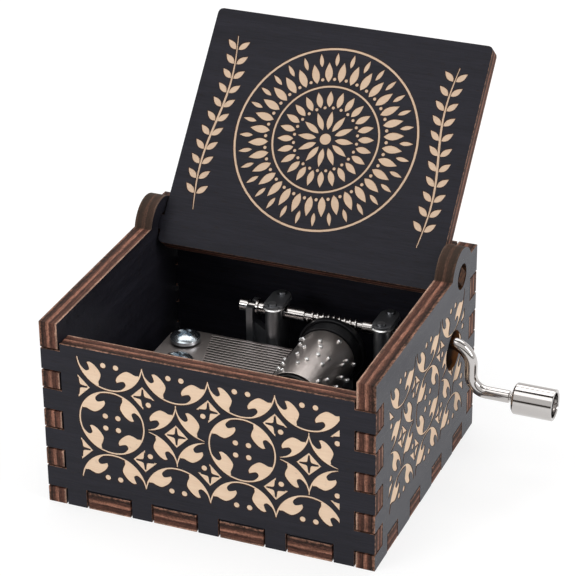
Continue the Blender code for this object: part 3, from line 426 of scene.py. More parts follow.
def stroke(centre, radius, start, end, width, taper_start=False, taper_end=False):
    """Outline of an arc-shaped stroke under a ring's outer radius, thin where tapered."""
    steps = max(6, round(abs(end - start) / 5))
    outer = arc(centre, radius, start, end, steps)
    inner = []
    for step in range(steps + 1):
        along = step / steps
        share = 1.0
        if taper_start:
            share = min(share, 0.35 + 3.5 * along)
        if taper_end:
            share = min(share, 0.35 + 3.5 * (1 - along))
        turn = radians(start + (end - start) * along)
        reach = radius - width * share
        inner.append((centre[0] + reach * cos(turn), centre[1] + reach * sin(turn)))
    return outer + inner[::-1]


def rounded_through(points, corners, steps=3):
    """A smooth closed curve through the points, sharp at the numbered corners."""
    count = len(points)
    result = []
    for index in range(count):
        before, here = Vector(points[index - 1]), Vector(points[index])
        after, later = Vector(points[(index + 1) % count]), Vector(points[(index + 2) % count])
        leaving = (after - here) if index in corners else (after - before) / 2
        arriving = (after - here) if (index + 1) % count in corners else (later - here) / 2
        for step in range(steps):
            t = step / steps
            place = (here * (2 * t**3 - 3 * t**2 + 1) + leaving * (t**3 - 2 * t**2 + t)
                     + after * (3 * t**2 - 2 * t**3) + arriving * (t**3 - t**2))
            result.append(tuple(place))
    return result


# The upper left leaf of a ring, from its foot to the notch in its head and round the ring
LEAF = [(-5.75, 2.1), (-5.0, 2.2), (-4.3, 1.9), (-3.3, 1.7), (-2.3, 2.25), (-1.5, 3.05), (-1.1, 3.9),
        (-1.3, 4.55), (-2.1, 4.2), (-2.7, 4.1), (-3.0, 4.6), (-2.7, 5.15), (-2.0, 5.75), (-1.0, 6.1)]
LEAF_CORNERS = {0, 7, 13}


def leaf_outline():
    shape = rounded_through(LEAF, LEAF_CORNERS)
    cut = len(LEAF) - 1
    shape = shape[:cut * 3 + 1] + arc((0, 0), RING_RADIUS - 0.04, 99.5, 160.5, 10)[1:-1]
    side = -1 if signed_area(shape) > 0 else 1
    return spread_outline(shape, side * LEAF_NARROWED)


def turned_by(outline, quarter_turns, centre):
    """An outline about the origin, turned clockwise by quarter turns and moved."""
    turn = -quarter_turns * pi / 2
    return [(centre[0] + u * cos(turn) - v * sin(turn), centre[1] + u * sin(turn) + v * cos(turn))
            for u, v in outline]


def diamond_quarter(centre, quarter_turns):
    """The upper right quarter of a diamond round a hollow-sided star, turned."""
    lap = QUARTER_OVERLAP
    shape = [(DIAMOND_REACH + lap, -lap), (-lap, DIAMOND_REACH + lap), (-lap, STAR_SIDE[0][1])]
    shape += STAR_SIDE + [(STAR_SIDE[-1][0], -lap)]
    return turned_by(shape, quarter_turns, centre)


def dot(u, v):
    return arc((u, v), DOT_RADIUS, 0, 360, 14)[:-1]


def ring_piece(centre, quarters):
    """A ring's quarters, 0 upper left and on clockwise: strokes with their leaves."""
    shapes = []
    for quarter in quarters:
        shapes.append(turned_by(leaf_outline(), quarter, centre))
    runs = {(0, 1, 2, 3): [(0, 182), (180, 362)], (2, 3): [(180, 270), (269, 360)], (0, 1): [(0, 91), (90, 180)]}
    for start, end in runs.get(tuple(quarters), []):
        half = len(quarters) == 2
        shapes.append(stroke(centre, RING_RADIUS, start, end, RING_STROKE,
                             half and start in (0, 180), half and end in (180, 360)))
    if len(quarters) == 1:
        start = {0: 90, 1: 0, 2: 270, 3: 180}[quarters[0]]
        early, late = (RING_TAIL_SHORTER, 2) if quarters[0] % 2 == 0 else (2, RING_TAIL_SHORTER)
        shapes.append(stroke(centre, RING_RADIUS, start + early, start + 90 - late, RING_STROKE, True, True))
    return shapes


def side_dots(centre, spread, height):
    return [dot(centre - spread, height), dot(centre + spread, height)]


def scroll_pattern(columns, kinds, pitch, rows, field):
    """Rings, leaves, diamonds and dots over a field. columns and rows are the centres
    of the rings; kinds says which columns have a full ring in the middle row."""
    bottom, middle, top = rows
    left, right, low, high = field
    shapes = []
    for centre, kind in zip(columns, kinds):
        shapes += ring_piece((centre, top), (2, 3))
        shapes += ring_piece((centre, bottom), (0, 1))
        shapes += side_dots(centre, DOT_SPREAD, high - 0.9)
        shapes += side_dots(centre, DOT_SPREAD, low + 0.8)
        if kind == "ring":
            shapes += ring_piece((centre, middle), (0, 1, 2, 3))
            shapes += side_dots(centre, DOT_SPREAD, middle + DOT_SPREAD)
            shapes += side_dots(centre, DOT_SPREAD, middle - DOT_SPREAD)
        else:
            shapes += [diamond_quarter((centre, middle), turn) for turn in range(4)]
    corners = [columns[0] - pitch / 2 + pitch * place for place in range(len(columns) + 1)]
    for place, u in enumerate(corners):
        left_star = place > 0 and kinds[place - 1] == "star"
        right_star = place < len(kinds) and kinds[place] == "star"
        for v, upper in (((top + middle) / 2, True), ((bottom + middle) / 2, False)):
            # Quarters: 0 upper right, 1 lower right, 2 lower left, 3 upper left
            facing_right, facing_left = (1, 2) if upper else (0, 3)
            for turn in range(4):
                toward_right = turn in (0, 1)
                if (toward_right and place == len(columns)) or (not toward_right and place == 0):
                    continue
                sign_v = -1 if upper else 1
                if (turn == facing_right and right_star) or (turn == facing_left and left_star):
                    side = 1 if toward_right else -1
                    ring_quarter = {(1, True): 2, (1, False): 1, (-1, True): 3, (-1, False): 0}[side, upper]
                    shapes.append(dot(u + side * 1.05, v + sign_v * 1.2))
                    shapes += ring_piece((u, v), (ring_quarter,))
                else:
                    shapes.append(diamond_quarter((u, v), turn))
    return [clipped(shape, field) for shape in shapes]


def clipped(outline, field):
    """The part of an outline inside the field's rectangle."""
    left, right, low, high = field
    for axis, limit, side in ((0, left, 1), (0, right, -1), (1, low, 1), (1, high, -1)):
        kept = []
        for index, here in enumerate(outline):
            before = outline[index - 1]
            here_in = side * (here[axis] - limit) >= 0
            before_in = side * (before[axis] - limit) >= 0
            if here_in != before_in:
                share = (limit - before[axis]) / (here[axis] - before[axis])
                kept.append(tuple(b + (h - b) * share for b, h in zip(before, here)))
            if here_in:
                kept.append(here)
        outline = kept
    return outline


def signed_area(outline):
    return sum(a[0] * b[1] - b[0] * a[1] for a, b in zip(outline, outline[1:] + outline[:1])) / 2


def spread_outline(outline, reach):
    """The outline moved outwards by reach, in its own units, with short mitres."""
    moved = []
    count = len(outline)
    for index in range(count):
        before, here, after = outline[index - 1], outline[index], outline[(index + 1) % count]
        first = Vector((here[1] - before[1], before[0] - here[0])).normalized()
        second = Vector((after[1] - here[1], here[0] - after[0])).normalized()
        middle = first + second
        if middle.length < 0.2:
            middle = first
        middle.normalize()
        stretch = min(1.6, 1 / max(0.3, middle.dot(first)))
        moved.append((here[0] + middle.x * reach * stretch, here[1] + middle.y * reach * stretch))
    return moved


def without_doubles(outline):
    kept = []
    for place in outline:
        if not kept or hypot(place[0] - kept[-1][0], place[1] - kept[-1][1]) > 0.01:
            kept.append(place)
    if len(kept) > 1 and hypot(kept[0][0] - kept[-1][0], kept[0][1] - kept[-1][1]) <= 0.01:
        kept.pop()
    return kept


def on_board(board, u, v, w):
    """World place of a point on a board: u and v in millimetres, w in metres outwards."""
    turn, origin = board
    return origin + turn.transposed() @ Vector((u * MM, v * MM, w))


def engraving_cutter(name, shapes, board, materials):
    """Flared prisms, wider at the face than at the engraved floor, one for each shape."""
    bm = bmesh.new()
    top_reach = ENGRAVED_FLARE / MM * (ENGRAVED_DEPTH + CUTTER_PROUD) / ENGRAVED_DEPTH
    for shape in shapes:
        shape = without_doubles(shape)
        if len(shape) < 3 or abs(signed_area(shape)) < 0.02:
            continue
        if signed_area(shape) < 0:
            shape = shape[::-1]
        floor = bm.faces.new([bm.verts.new(on_board(board, u, v, -ENGRAVED_DEPTH)) for u, v in shape])
        floor_corners = list(floor.verts)
        grown = bmesh.ops.extrude_face_region(bm, geom=[floor], use_keep_orig=True)
        lid_face = [item for item in grown["geom"] if isinstance(item, bmesh.types.BMFace)][0]
        top_points = spread_outline(shape, top_reach)
        for corner, (u, v) in zip(floor_corners, top_points):
            for edge in corner.link_edges:
                other = edge.other_vert(corner)
                if other in lid_face.verts:
                    other.co = on_board(board, u, v, CUTTER_PROUD)
        for face in [floor, lid_face] + [f for e in floor.edges for f in e.link_faces]:
            face.material_index = 3
        floor.material_index = 2
    bmesh.ops.recalc_face_normals(bm, faces=bm.faces)
    cutter = mesh_object(name, bm)
    for material in materials:
        cutter.data.materials.append(material)
    return cutter


def mesh_object(name, bm):
    mesh = bpy.data.meshes.new(name)
    bm.to_mesh(mesh)
    bm.free()
    made = bpy.data.objects.new(name, mesh)
    bpy.context.scene.collection.objects.link(made)
    return made


def merged_copy(node):
    """A bmesh of a CAD node with its loose triangles joined and flat faces whole."""
    bm = bmesh.new()
    bm.from_mesh(nodes[node].data)
    bmesh.ops.remove_doubles(bm, verts=bm.verts, dist=0.002 * MM)
    bmesh.ops.dissolve_limit(bm, angle_limit=radians(1), verts=bm.verts, edges=bm.edges)
    return bm


def soften(bm, offset, segments, sharp):
    """Round the edges that are sharper than an angle in degrees."""
    edges = [edge for edge in bm.edges
             if len(edge.link_faces) == 2 and edge.calc_face_angle(0) > radians(sharp)]
    bmesh.ops.bevel(bm, geom=edges, offset=offset, offset_type="OFFSET", segments=segments,
                    profile=0.5, affect="EDGES", clamp_overlap=True, material=-1)


def drop_old_normals(mesh):
    stored = mesh.attributes.get("custom_normal")
    if stored:
        mesh.attributes.remove(stored)


def shade(piece, angle=35):
    drop_old_normals(piece.data)
    piece.data.shade_smooth()
    piece.data.set_sharp_from_angle(angle=radians(angle))
    weighted = piece.modifiers.new("Weighted normals", "WEIGHTED_NORMAL")
    weighted.keep_sharp = True


def stand_for(piece, node, body):
    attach(piece, body)
    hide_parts(node)


def make_board(name, node, body, board, shapes, wall, bore):
    """A board of the case with softened edges and its engraving cut into it."""
    face = stained_face(f"{name}_face", board)
    edge = cut_edge(f"{name}_edge", board)
    # On the lid the engraved floor is darkened as painted shade, to offset the stronger light on it
    floor = engraved_floor(f"{name}_engraved", board, 0.35 if node == "lid" else 0.0)
    # Faces inside the case take a copy with the sheen nearly off, as painted shade.
    inner = stained_face(f"{name}_inner_face_painted_shade", board, True)
    finishes = [face, edge, floor, wall, bore, inner]
    bm = merged_copy(node)
    soften(bm, EDGE_SOFTENING, 2, 50)
    through = board[0][2]
    for part in bm.faces:
        middle = part.calc_center_median()
        part.material_index = 0 if abs(part.normal.dot(through)) > 0.9 else 1
        # Faces that look into the case get that painted-shade copy.
        if node.endswith("_panel") and part.normal.dot(through) < -0.9:
            part.material_index = 5
        if part.material_index == 1 and in_crank_hole(middle):
            part.material_index = 4
        # The pivot holes' walls and the tab ends in them take the dark rim finish as painted shade.
        if part.material_index == 1 and in_pivot_hole(middle):
            part.material_index = 3
    piece = mesh_object(name, bm)
    for material in finishes:
        piece.data.materials.append(material)
    if shapes:
        cutter = engraving_cutter(f"{name}_cutter", shapes, board, finishes)
        cut = piece.modifiers.new("Engrave", "BOOLEAN")
        cut.operation = "DIFFERENCE"
        cut.solver = "EXACT"
        cut.use_self = True
        cut.object = cutter
        bpy.context.view_layer.update()
        result = bpy.data.meshes.new_from_object(piece.evaluated_get(bpy.context.evaluated_depsgraph_get()))
        piece.modifiers.clear()
        piece.data = result
        bpy.data.objects.remove(cutter)
    shade(piece, 30)
    stand_for(piece, node, body)
    return piece


def in_crank_hole(place):
    reach = hypot(place.y - CRANK_HOLE_Y, place.z - CRANK_HOLE_Z)
    return place.x > 0 and reach < CRANK_HOLE_RADIUS + EDGE_SOFTENING


def in_pivot_hole(place):
    """Holds for the holes' walls and for the ends of the lid's tabs inside them."""
    pivot = joint_place["lid_hinge"]
    return abs(place.x) > 28.2 * MM and hypot(place.y - pivot.y, place.z - pivot.z) < 2.7 * MM


def facing(u, v, w, origin):
    """A board's frame: rows are its grain, its up and its outward direction."""
    return Matrix((u, v, w)), Vector(origin)


front_low, front_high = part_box("front_panel")
right_low, right_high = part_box("right_side_panel")
FRONT_BOARD = facing((1, 0, 0), (0, 0, 1), (0, -1, 0), (0, front_low.y, 0))
BACK_BOARD = facing((-1, 0, 0), (0, 0, 1), (0, 1, 0), (0, -front_low.y, 0))
RIGHT_BOARD = facing((0, 1, 0), (0, 0, 1), (1, 0, 0), (right_high.x, 0, 0))
LEFT_BOARD = facing((0, -1, 0), (0, 0, 1), (-1, 0, 0), (-right_high.x, 0, 0))
FLOOR_BOARD = facing((1, 0, 0), (0, 1, 0), (0, 0, 1), (0, 0, PLY))
LID_UP = Vector((0, sin(LID_LEAN), cos(LID_LEAN)))
LID_OUT = Vector((0, -cos(LID_LEAN), sin(LID_LEAN)))
LID_BOARD = facing((1, 0, 0), LID_UP, LID_OUT, joint_place["lid_hinge"] + LID_OUT * PLY / 2)

FRONT_COLUMNS = (-18.4, -5.73, 6.94, 19.6)
SIDE_COLUMNS = (-13.5, 0.15, 13.8)


def front_shapes():
    return scroll_pattern(FRONT_COLUMNS, ("ring", "star", "ring", "star"), 12.67,
                          (6.3, 19.4, 32.5), (-25.0, 25.3, 6.9, 31.95))


def side_shapes():
    return scroll_pattern(SIDE_COLUMNS, ("star", "ring", "star"), 13.65,
                          (6.9, 20.0, 33.1), (-20.5, 20.5, 7.6, 32.9))


def mirrored(shapes):
    return [[(-u, v) for u, v in shape] for shape in shapes]


def petal(centre, turn, inner, outer, width, steps=7):
    """A pointed oval between two distances from a centre, along an angle in degrees."""
    length = outer - inner
    side = []
    for step in range(1, steps):
        share = step / steps
        side.append((inner + length * share, width / 2 * sin(pi * share ** 0.85)))
    points = [(inner, 0)] + side + [(outer, 0)] + [(u, -v) for u, v in reversed(side)]
    angle = radians(turn)
    return [(centre[0] + u * cos(angle) - v * sin(angle), centre[1] + u * sin(angle) + v * cos(angle))
            for u, v in points]


def ribbon(points, width):
    """A stroke along a line of points, pointed at both ends."""
    count = len(points)
    left, right = [], []
    for index, here in enumerate(points):
        before, after = points[max(0, index - 1)], points[min(count - 1, index + 1)]
        across = Vector((before[1] - after[1], after[0] - before[0])).normalized()
        share = 0.3 + 0.7 * sin(pi * index / (count - 1))
        reach = across * width / 2 * share
        left.append((here[0] + reach.x, here[1] + reach.y))
        right.append((here[0] - reach.x, here[1] - reach.y))
    return right + left[::-1]


ROSETTE = (0.0, 21.3)


def rosette_shapes():
    """The lid's own design: a round rosette of petals and dots with sprigs beside it."""
    shapes = [arc(ROSETTE, 1.1, 0, 360, 18)[:-1]]
    for index in range(12):
        shapes.append(petal(ROSETTE, index * 30, 1.9, 5.6, 1.15))
    for index in range(24):
        shapes.append(petal(ROSETTE, index * 15 + 7.5, 6.4, 9.6, 1.25))
        shapes.append(dot_at(ROSETTE, 6.3, index * 15, 0.3))
    for half in range(2):
        shapes.append(stroke(ROSETTE, 10.7, half * 180, half * 180 + 182, 0.35))
        shapes.append(stroke(ROSETTE, 18.3, half * 180, half * 180 + 182, 0.4))
    for index in range(32):
        turn = index * 360 / 32
        shapes.append(petal(ROSETTE, turn, 11.4, 15.4, 1.5))
        shapes.append(petal(ROSETTE, turn + 360 / 64, 14.6, 17.3, 0.8))
        shapes.append(dot_at(ROSETTE, 12.0, turn + 360 / 64, 0.32))
    return shapes


def dot_at(centre, reach, turn, radius):
    place = (centre[0] + reach * cos(radians(turn)), centre[1] + reach * sin(radians(turn)))
    return arc(place, radius, 0, 360, 12)[:-1]


def sprig_shapes():
    """A tall sprig of paired leaves for the lid's right side."""
    stem = [(22.6 + 0.9 * sin(step / 24 * 2 * pi), 3.5 + step * 35.5 / 24) for step in range(25)]
    shapes = [ribbon(stem, 0.42)]
    for index in range(2, 23, 2):
        place = stem[index]
        for side in (-1, 1):
            shapes.append(petal(place, 90 - side * 48, 0.35, 3.0, 1.15))
    return shapes


def lid_shapes():
    sprig = sprig_shapes()
    return rosette_shapes() + sprig + mirrored(sprig)


def make_case():
    wall = scorched_rim_and_hole_shade()
    bore = burnt_bore_with_painted_shade()
    side = side_shapes()
    make_board("engraved_front", "front_panel", "case", FRONT_BOARD, front_shapes(), wall, bore)
    make_board("engraved_back", "back_panel", "case", BACK_BOARD, front_shapes(), wall, bore)
    make_board("engraved_right_side", "right_side_panel", "case", RIGHT_BOARD, side, wall, bore)
    make_board("engraved_left_side", "left_side_panel", "case", LEFT_BOARD, mirrored(side), wall, bore)
    make_board("case_floor", "floor_panel", "case", FLOOR_BOARD, [], wall, bore)
    make_board("engraved_lid", "lid", "lid", LID_BOARD, lid_shapes(), wall, bore)


def metal(name, colour, roughness, shift, brush=None, bump=0.15, grain=0.0):
    """A metal with fine lines or speckle in its roughness and tone. shift is how far
    the tone wanders; grain is how sandy its skin is."""
    made, wiring, shader = new_material(name)
    vector = millimetres(wiring, brush)
    lines = place_group(wiring, BRUSHED, {"Vector": vector})
    skin = place_group(wiring, SPECKLE, {"Vector": vector})
    darker = tuple(channel * (1 - shift) for channel in colour[:3]) + (1,)
    tone = wiring.mix(lines["Lines"], darker, colour)
    tone = wiring.mix(wiring.maths("MULTIPLY", skin["Wear"], shift), tone, darker)
    wiring.feed(shader.inputs["Base Color"], tone)
    rough = wiring.maths("ADD", wiring.maths("MULTIPLY", lines["Lines"], 0.14), roughness - 0.07)
    rough = wiring.maths("ADD", rough, wiring.maths("MULTIPLY", skin["Pits"], 0.12), clamp=True)
    wiring.feed(shader.inputs["Roughness"], rough)
    height = wiring.maths("ADD", lines["Lines"], wiring.maths("MULTIPLY", skin["Fine"], 10 * grain))
    wiring.feed(shader.inputs["Normal"], wiring.bump(height, bump, 0.01 * MM))
    shader.inputs["Metallic"].default_value = 1.0
    return made


def slot_painted_shade():
    """Painted shade for the walls between the comb's teeth: near black, a little lighter in patches."""
    made, wiring, shader = new_material("comb_slot_painted_shade")
    skin = place_group(wiring, SPECKLE, {"Vector": millimetres(wiring)})
    colour = wiring.mix(skin["Wear"], (0.012, 0.011, 0.011, 1), (0.03, 0.027, 0.025, 1))
    wiring.feed(shader.inputs["Base Color"], colour)
    shader.inputs["Roughness"].default_value = 0.7
    shader.inputs["Specular IOR Level"].default_value = 0.1
    return made


def plastic(name):
    made, wiring, shader = new_material(name)
    skin = place_group(wiring, SPECKLE, {"Vector": millimetres(wiring)})
    colour = wiring.mix(skin["Wear"], (0.008, 0.008, 0.009, 1), (0.018, 0.018, 0.02, 1))
    wiring.feed(shader.inputs["Base Color"], colour)
    wiring.feed(shader.inputs["Roughness"], wiring.maths("ADD", wiring.maths("MULTIPLY", skin["Fine"], 0.15), 0.24))
    wiring.feed(shader.inputs["Normal"], wiring.bump(skin["Fine"], 0.1, 0.02 * MM))
    shader.inputs["Specular IOR Level"].default_value = 0.2
    return made


ALONG_Y = Matrix(((0, 1, 0), (0, 0, 1), (1, 0, 0)))
TOWARDS = {"X": Matrix.Rotation(pi / 2, 4, "Y"), "Y": Matrix.Rotation(-pi / 2, 4, "X"), "Z": Matrix.Identity(4)}


def lying(axis, x, y, z):
    """Matrix that lays a piece made about local Z along an axis at a place."""
    return Matrix.Translation((x, y, z)) @ TOWARDS[axis]


def spun(bm, profile, sides, place, closed=False, lobes=0, lobe_height=0.0, turns=1, climb=0.0):
    """Spins (radius, height) points about local Z. closed joins the profile's ends, lobes
    swell the rim in waves, and a climb per turn makes a thread."""
    before = set(bm.verts)
    corners = [bm.verts.new((radius, 0, along)) for radius, along in profile]
    following = corners[1:] + (corners[:1] if closed else [])
    edges = [bm.edges.new(pair) for pair in zip(corners, following)]
    bmesh.ops.spin(bm, geom=corners + edges, cent=(0, 0, 0), axis=(0, 0, 1), dvec=(0, 0, climb / sides),
                   angle=2 * pi * turns, steps=round(sides * turns), use_merge=not climb)
    made = [corner for corner in bm.verts if corner not in before]
    bmesh.ops.remove_doubles(bm, verts=made, dist=0.001 * MM)
    made = [corner for corner in bm.verts if corner not in before]
    if lobes:
        for corner in made:
            turn = atan2(corner.co.y, corner.co.x)
            corner.co += Vector((cos(turn), sin(turn), 0)) * lobe_height * cos(lobes * turn)
    bmesh.ops.transform(bm, matrix=place, verts=made)


def corners_of(edges):
    return list({corner for edge in edges for corner in edge.verts})


def drawn(bm, ring, way, shrink=1.0):
    """Draws a ring of edges along a vector and shrinks its new end. Gives the new ring."""
    grown = bmesh.ops.extrude_edge_only(bm, edges=ring)["geom"]
    corners = {item for item in grown if isinstance(item, bmesh.types.BMVert)}
    middle = sum((corner.co for corner in corners), Vector()) / len(corners)
    bmesh.ops.scale(bm, vec=(shrink,) * 3, verts=list(corners), space=Matrix.Translation(-middle))
    bmesh.ops.translate(bm, vec=way, verts=list(corners))
    return [item for item in grown if isinstance(item, bmesh.types.BMEdge) and set(item.verts) <= corners]


def bent(bm, ring, centre, angle):
    """Draws a ring of edges round a centre about Y. Gives the new ring."""
    swept = bmesh.ops.spin(bm, geom=corners_of(ring) + ring, cent=centre, axis=(0, 1, 0), angle=angle, steps=20)
    return [item for item in swept["geom_last"] if isinstance(item, bmesh.types.BMEdge)]


def finished(bm, node, body, materials, angle=35):
    """The new piece that stands for a CAD node."""
    bmesh.ops.recalc_face_normals(bm, faces=bm.faces)
    piece = mesh_object(f"finished_{node}", bm)
    for material in materials:
        piece.data.materials.append(material)
    shade(piece, angle)
    stand_for(piece, node, body)
    return piece


def refine(node, body, material, offset=0.08 * MM, segments=2, sharp=40, angle=35):
    """A copy of a CAD node with small rounded edges and its finish."""
    bm = merged_copy(node)
    soften(bm, offset, segments, sharp)
    return finished(bm, node, body, [material], angle)


def make_drum(metal_skin, pin_metal):
    """The drum's smooth shell and its short round pins."""
    low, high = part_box("drum")
    place = joint_place["drum_spin"]
    front, rear = low.y, high.y
    inner = DRUM_RADIUS - DRUM_WALL
    edge = DRUM_CHAMFER
    bm = bmesh.new()
    spun(bm, [(DRUM_RADIUS - edge, front), (DRUM_RADIUS, front + edge), (DRUM_RADIUS, rear - edge),
              (DRUM_RADIUS - edge, rear), (inner, rear), (inner, front)], 112, lying("Y", place.x, 0, place.z), True)
    shell_faces = len(bm.faces)
    for row in range(TEETH):
        along = COMB_REAR - (row + 0.5) * TOOTH_PITCH
        for turn in range(PINS_PER_ROW):
            angle = radians(turn * 360 / PINS_PER_ROW + row * 47 + 9 * ((row * row + 3 * turn) % 5))
            outward = Vector((cos(angle), 0, sin(angle)))
            foot = Vector((place.x, along, place.z)) + outward * (DRUM_RADIUS - 0.2 * MM)
            stand = Matrix.Translation(foot) @ outward.to_track_quat("Z", "Y").to_matrix().to_4x4()
            top = PIN_HEIGHT + 0.2 * MM
            spun(bm, [(PIN_RADIUS, 0), (PIN_RADIUS, top - PIN_ROUNDING), (PIN_RADIUS - PIN_ROUNDING, top),
                      (0, top)], 12, stand)
    bm.faces.ensure_lookup_table()
    for index in range(shell_faces, len(bm.faces)):
        bm.faces[index].material_index = 1
    finished(bm, "drum", "drum", [metal_skin, pin_metal])


def make_gear(black):
    """The moulded gear with fine turned rings on its front and teeth on its rear."""
    low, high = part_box("drum_gear")
    place = joint_place["drum_spin"]
    bore, spigot, hub = 1.25 * MM, 4.6 * MM, 2.6 * MM
    rounding = 0.12 * MM
    profile = [(bore, high.y), (hub, high.y), (hub, GEAR_DISC_REAR), (GEAR_DISC_RADIUS - rounding, GEAR_DISC_REAR),
               (GEAR_DISC_RADIUS, GEAR_DISC_REAR - rounding), (GEAR_DISC_RADIUS, GEAR_DISC_FRONT - 0.25 * MM + rounding),
               (GEAR_DISC_RADIUS - rounding, GEAR_DISC_FRONT - 0.25 * MM), (6.35 * MM, GEAR_DISC_FRONT - 0.25 * MM),
               (6.2 * MM, GEAR_DISC_FRONT), (GEAR_FLANGE_RADIUS, GEAR_DISC_FRONT)]
    for step in range(4):
        along = GEAR_DISC_FRONT - (step + 0.6) * 0.5 * MM
        profile += [(GEAR_FLANGE_RADIUS, along + 0.1 * MM), (GEAR_FLANGE_RADIUS - 0.08 * MM, along),
                    (GEAR_FLANGE_RADIUS, along - 0.1 * MM)]
    profile += [(GEAR_FLANGE_RADIUS, GEAR_FRONT + rounding), (GEAR_FLANGE_RADIUS - rounding, GEAR_FRONT),
                (spigot, GEAR_FRONT), (spigot, low.y), (bore, low.y)]
    bm = bmesh.new()
    spun(bm, profile, 112, lying("Y", place.x, 0, place.z), True)
    pitch = worm_pitch()
    lead = atan(pitch / (pi * (WORM_CREST_RADIUS + WORM_ROOT_RADIUS)))
    middle = Vector((5.175 * MM, 0, GEAR_DISC_REAR + 0.1 * MM))
    for tooth in range(GEAR_TEETH):
        turn = Matrix.Rotation(2 * pi * (tooth + 0.5) / GEAR_TEETH - pi / 2, 4, "Z")
        size = Matrix.Diagonal((0.65 * MM, 0.25 * MM, 0.7 * MM, 1))
        bmesh.ops.create_cube(bm, size=1, matrix=lying("Y", place.x, 0, place.z) @ turn
                              @ Matrix.Translation(middle) @ Matrix.Rotation(-lead, 4, "Z") @ size)
    finished(bm, "drum_gear", "drum", [black], 30)


def worm_pitch():
    return 2 * pi * (joint_place["crank_spin"].z - joint_place["drum_spin"].z) / GEAR_TEETH


def make_worm_shaft(nickel):
    """The shaft with its neck and thrust disc, and the thread as one helical ridge."""
    low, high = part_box("worm_shaft")
    axis = joint_place["crank_spin"]
    pitch = worm_pitch()
    start = joint_place["drum_spin"].x - WORM_TURNS_LEFT_OF_DRUM * pitch
    end = start + WORM_TURNS * pitch
    relief = 0.3 * MM + 0.3 * pitch
    neck = low.x + 1.7 * MM
    disc = neck + 1.7 * MM
    edge = 0.1 * MM
    profile = [(0, low.x), (SHAFT_RADIUS - edge, low.x), (SHAFT_RADIUS, low.x + edge), (SHAFT_RADIUS, neck - edge),
               (SHAFT_RADIUS - edge, neck), (0.75 * MM, neck), (0.75 * MM, disc), (1.65 * MM - edge, disc),
               (1.65 * MM, disc + edge), (1.65 * MM, disc + 0.55 * MM - edge), (1.65 * MM - edge, disc + 0.55 * MM),
               (SHAFT_RADIUS, disc + 0.55 * MM), (SHAFT_RADIUS, start - relief - edge),
               (SHAFT_RADIUS - edge, start - relief), (WORM_ROOT_RADIUS, start - relief),
               (WORM_ROOT_RADIUS, end + relief), (SHAFT_RADIUS - edge, end + relief),
               (SHAFT_RADIUS, end + relief + edge), (SHAFT_RADIUS, high.x), (0.85 * MM, high.x),
               (0.85 * MM, high.x - 3.6 * MM), (0, high.x - 3.6 * MM)]
    bm = bmesh.new()
    spun(bm, profile, 48, lying("X", 0, axis.y, axis.z))
    crest = 0.1 * pitch
    foot = 0.3 * pitch
    sunk = WORM_ROOT_RADIUS * 0.9
    section = [(sunk, start - foot), (WORM_CREST_RADIUS, start - crest), (WORM_CREST_RADIUS, start + crest),
               (sunk, start + foot)]
    place = lying("X", 0, axis.y, axis.z) @ Matrix.Rotation(-pi / 2, 4, "Z")
    spun(bm, section, 32, place, True, turns=WORM_TURNS, climb=pitch)
    bmesh.ops.holes_fill(bm, edges=[edge for edge in bm.edges if edge.is_boundary])
    finished(bm, "worm_shaft", "crank", [nickel])


def make_crank(nickel):
    """Bent wire, its neck with a small bead, and the lobed peened end of its spindle."""
    axis = joint_place["crank_spin"]
    spindle = joint_place["knob_spin"]
    knob_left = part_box("crank_knob")[0].x
    upper, lower = UPPER_BEND_RADIUS, LOWER_BEND_RADIUS
    end = knob_left - NECK_GROOVE
    upper_left = CRANK_ARM_X - upper
    lower_right = CRANK_ARM_X + lower
    bm = bmesh.new()
    start = bmesh.ops.create_circle(bm, cap_ends=True, segments=40, radius=WIRE_RADIUS,
                                    matrix=lying("X", WIRE_LEFT, axis.y, axis.z))
    ring = list({edge for corner in start["verts"] for edge in corner.link_edges})
    ring = drawn(bm, ring, (upper_left - WIRE_LEFT, 0, 0))
    ring = bent(bm, ring, (upper_left, axis.y, axis.z - upper), pi / 2)
    ring = drawn(bm, ring, (0, 0, spindle.z + lower - (axis.z - upper)))
    ring = bent(bm, ring, (lower_right, axis.y, spindle.z + lower), -pi / 2)
    for length, shrink in ((end - 0.2 * MM - lower_right, 1.0), (0.14 * MM, 0.94), (0.06 * MM, 0.85)):
        ring = drawn(bm, ring, (length, 0, 0), shrink)
    bmesh.ops.contextual_create(bm, geom=ring)
    place = lying("X", 0, spindle.y, spindle.z)
    washer_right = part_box("knob_washer")[1].x
    peen = washer_right + 0.3 * MM
    neck = SPINDLE_RADIUS * 0.92
    spun(bm, [(0, end - 0.4 * MM), (neck, end - 0.4 * MM), (neck, end + 0.18 * MM), (0.98 * MM, end + 0.28 * MM),
              (1.02 * MM, end + 0.42 * MM), (0.98 * MM, end + 0.56 * MM), (neck, end + 0.66 * MM),
              (neck, peen + 0.1 * MM), (0, peen + 0.1 * MM)], 32, place)
    spun(bm, [(0, peen), (0.9 * PEEN_RADIUS, peen), (PEEN_RADIUS, peen + 0.15 * MM),
              (0.92 * PEEN_RADIUS, peen + 0.34 * MM), (0.6 * PEEN_RADIUS, peen + 0.47 * MM),
              (0, peen + 0.5 * MM)], 40, place, lobes=4, lobe_height=0.14 * MM)
    spun(bm, [(0, WIRE_LEFT - 3.4 * MM), (0.6 * MM, WIRE_LEFT - 3.4 * MM), (0.6 * MM, WIRE_LEFT), (0, WIRE_LEFT)],
         24, lying("X", 0, axis.y, axis.z))
    finished(bm, "crank_arm", "crank", [nickel])


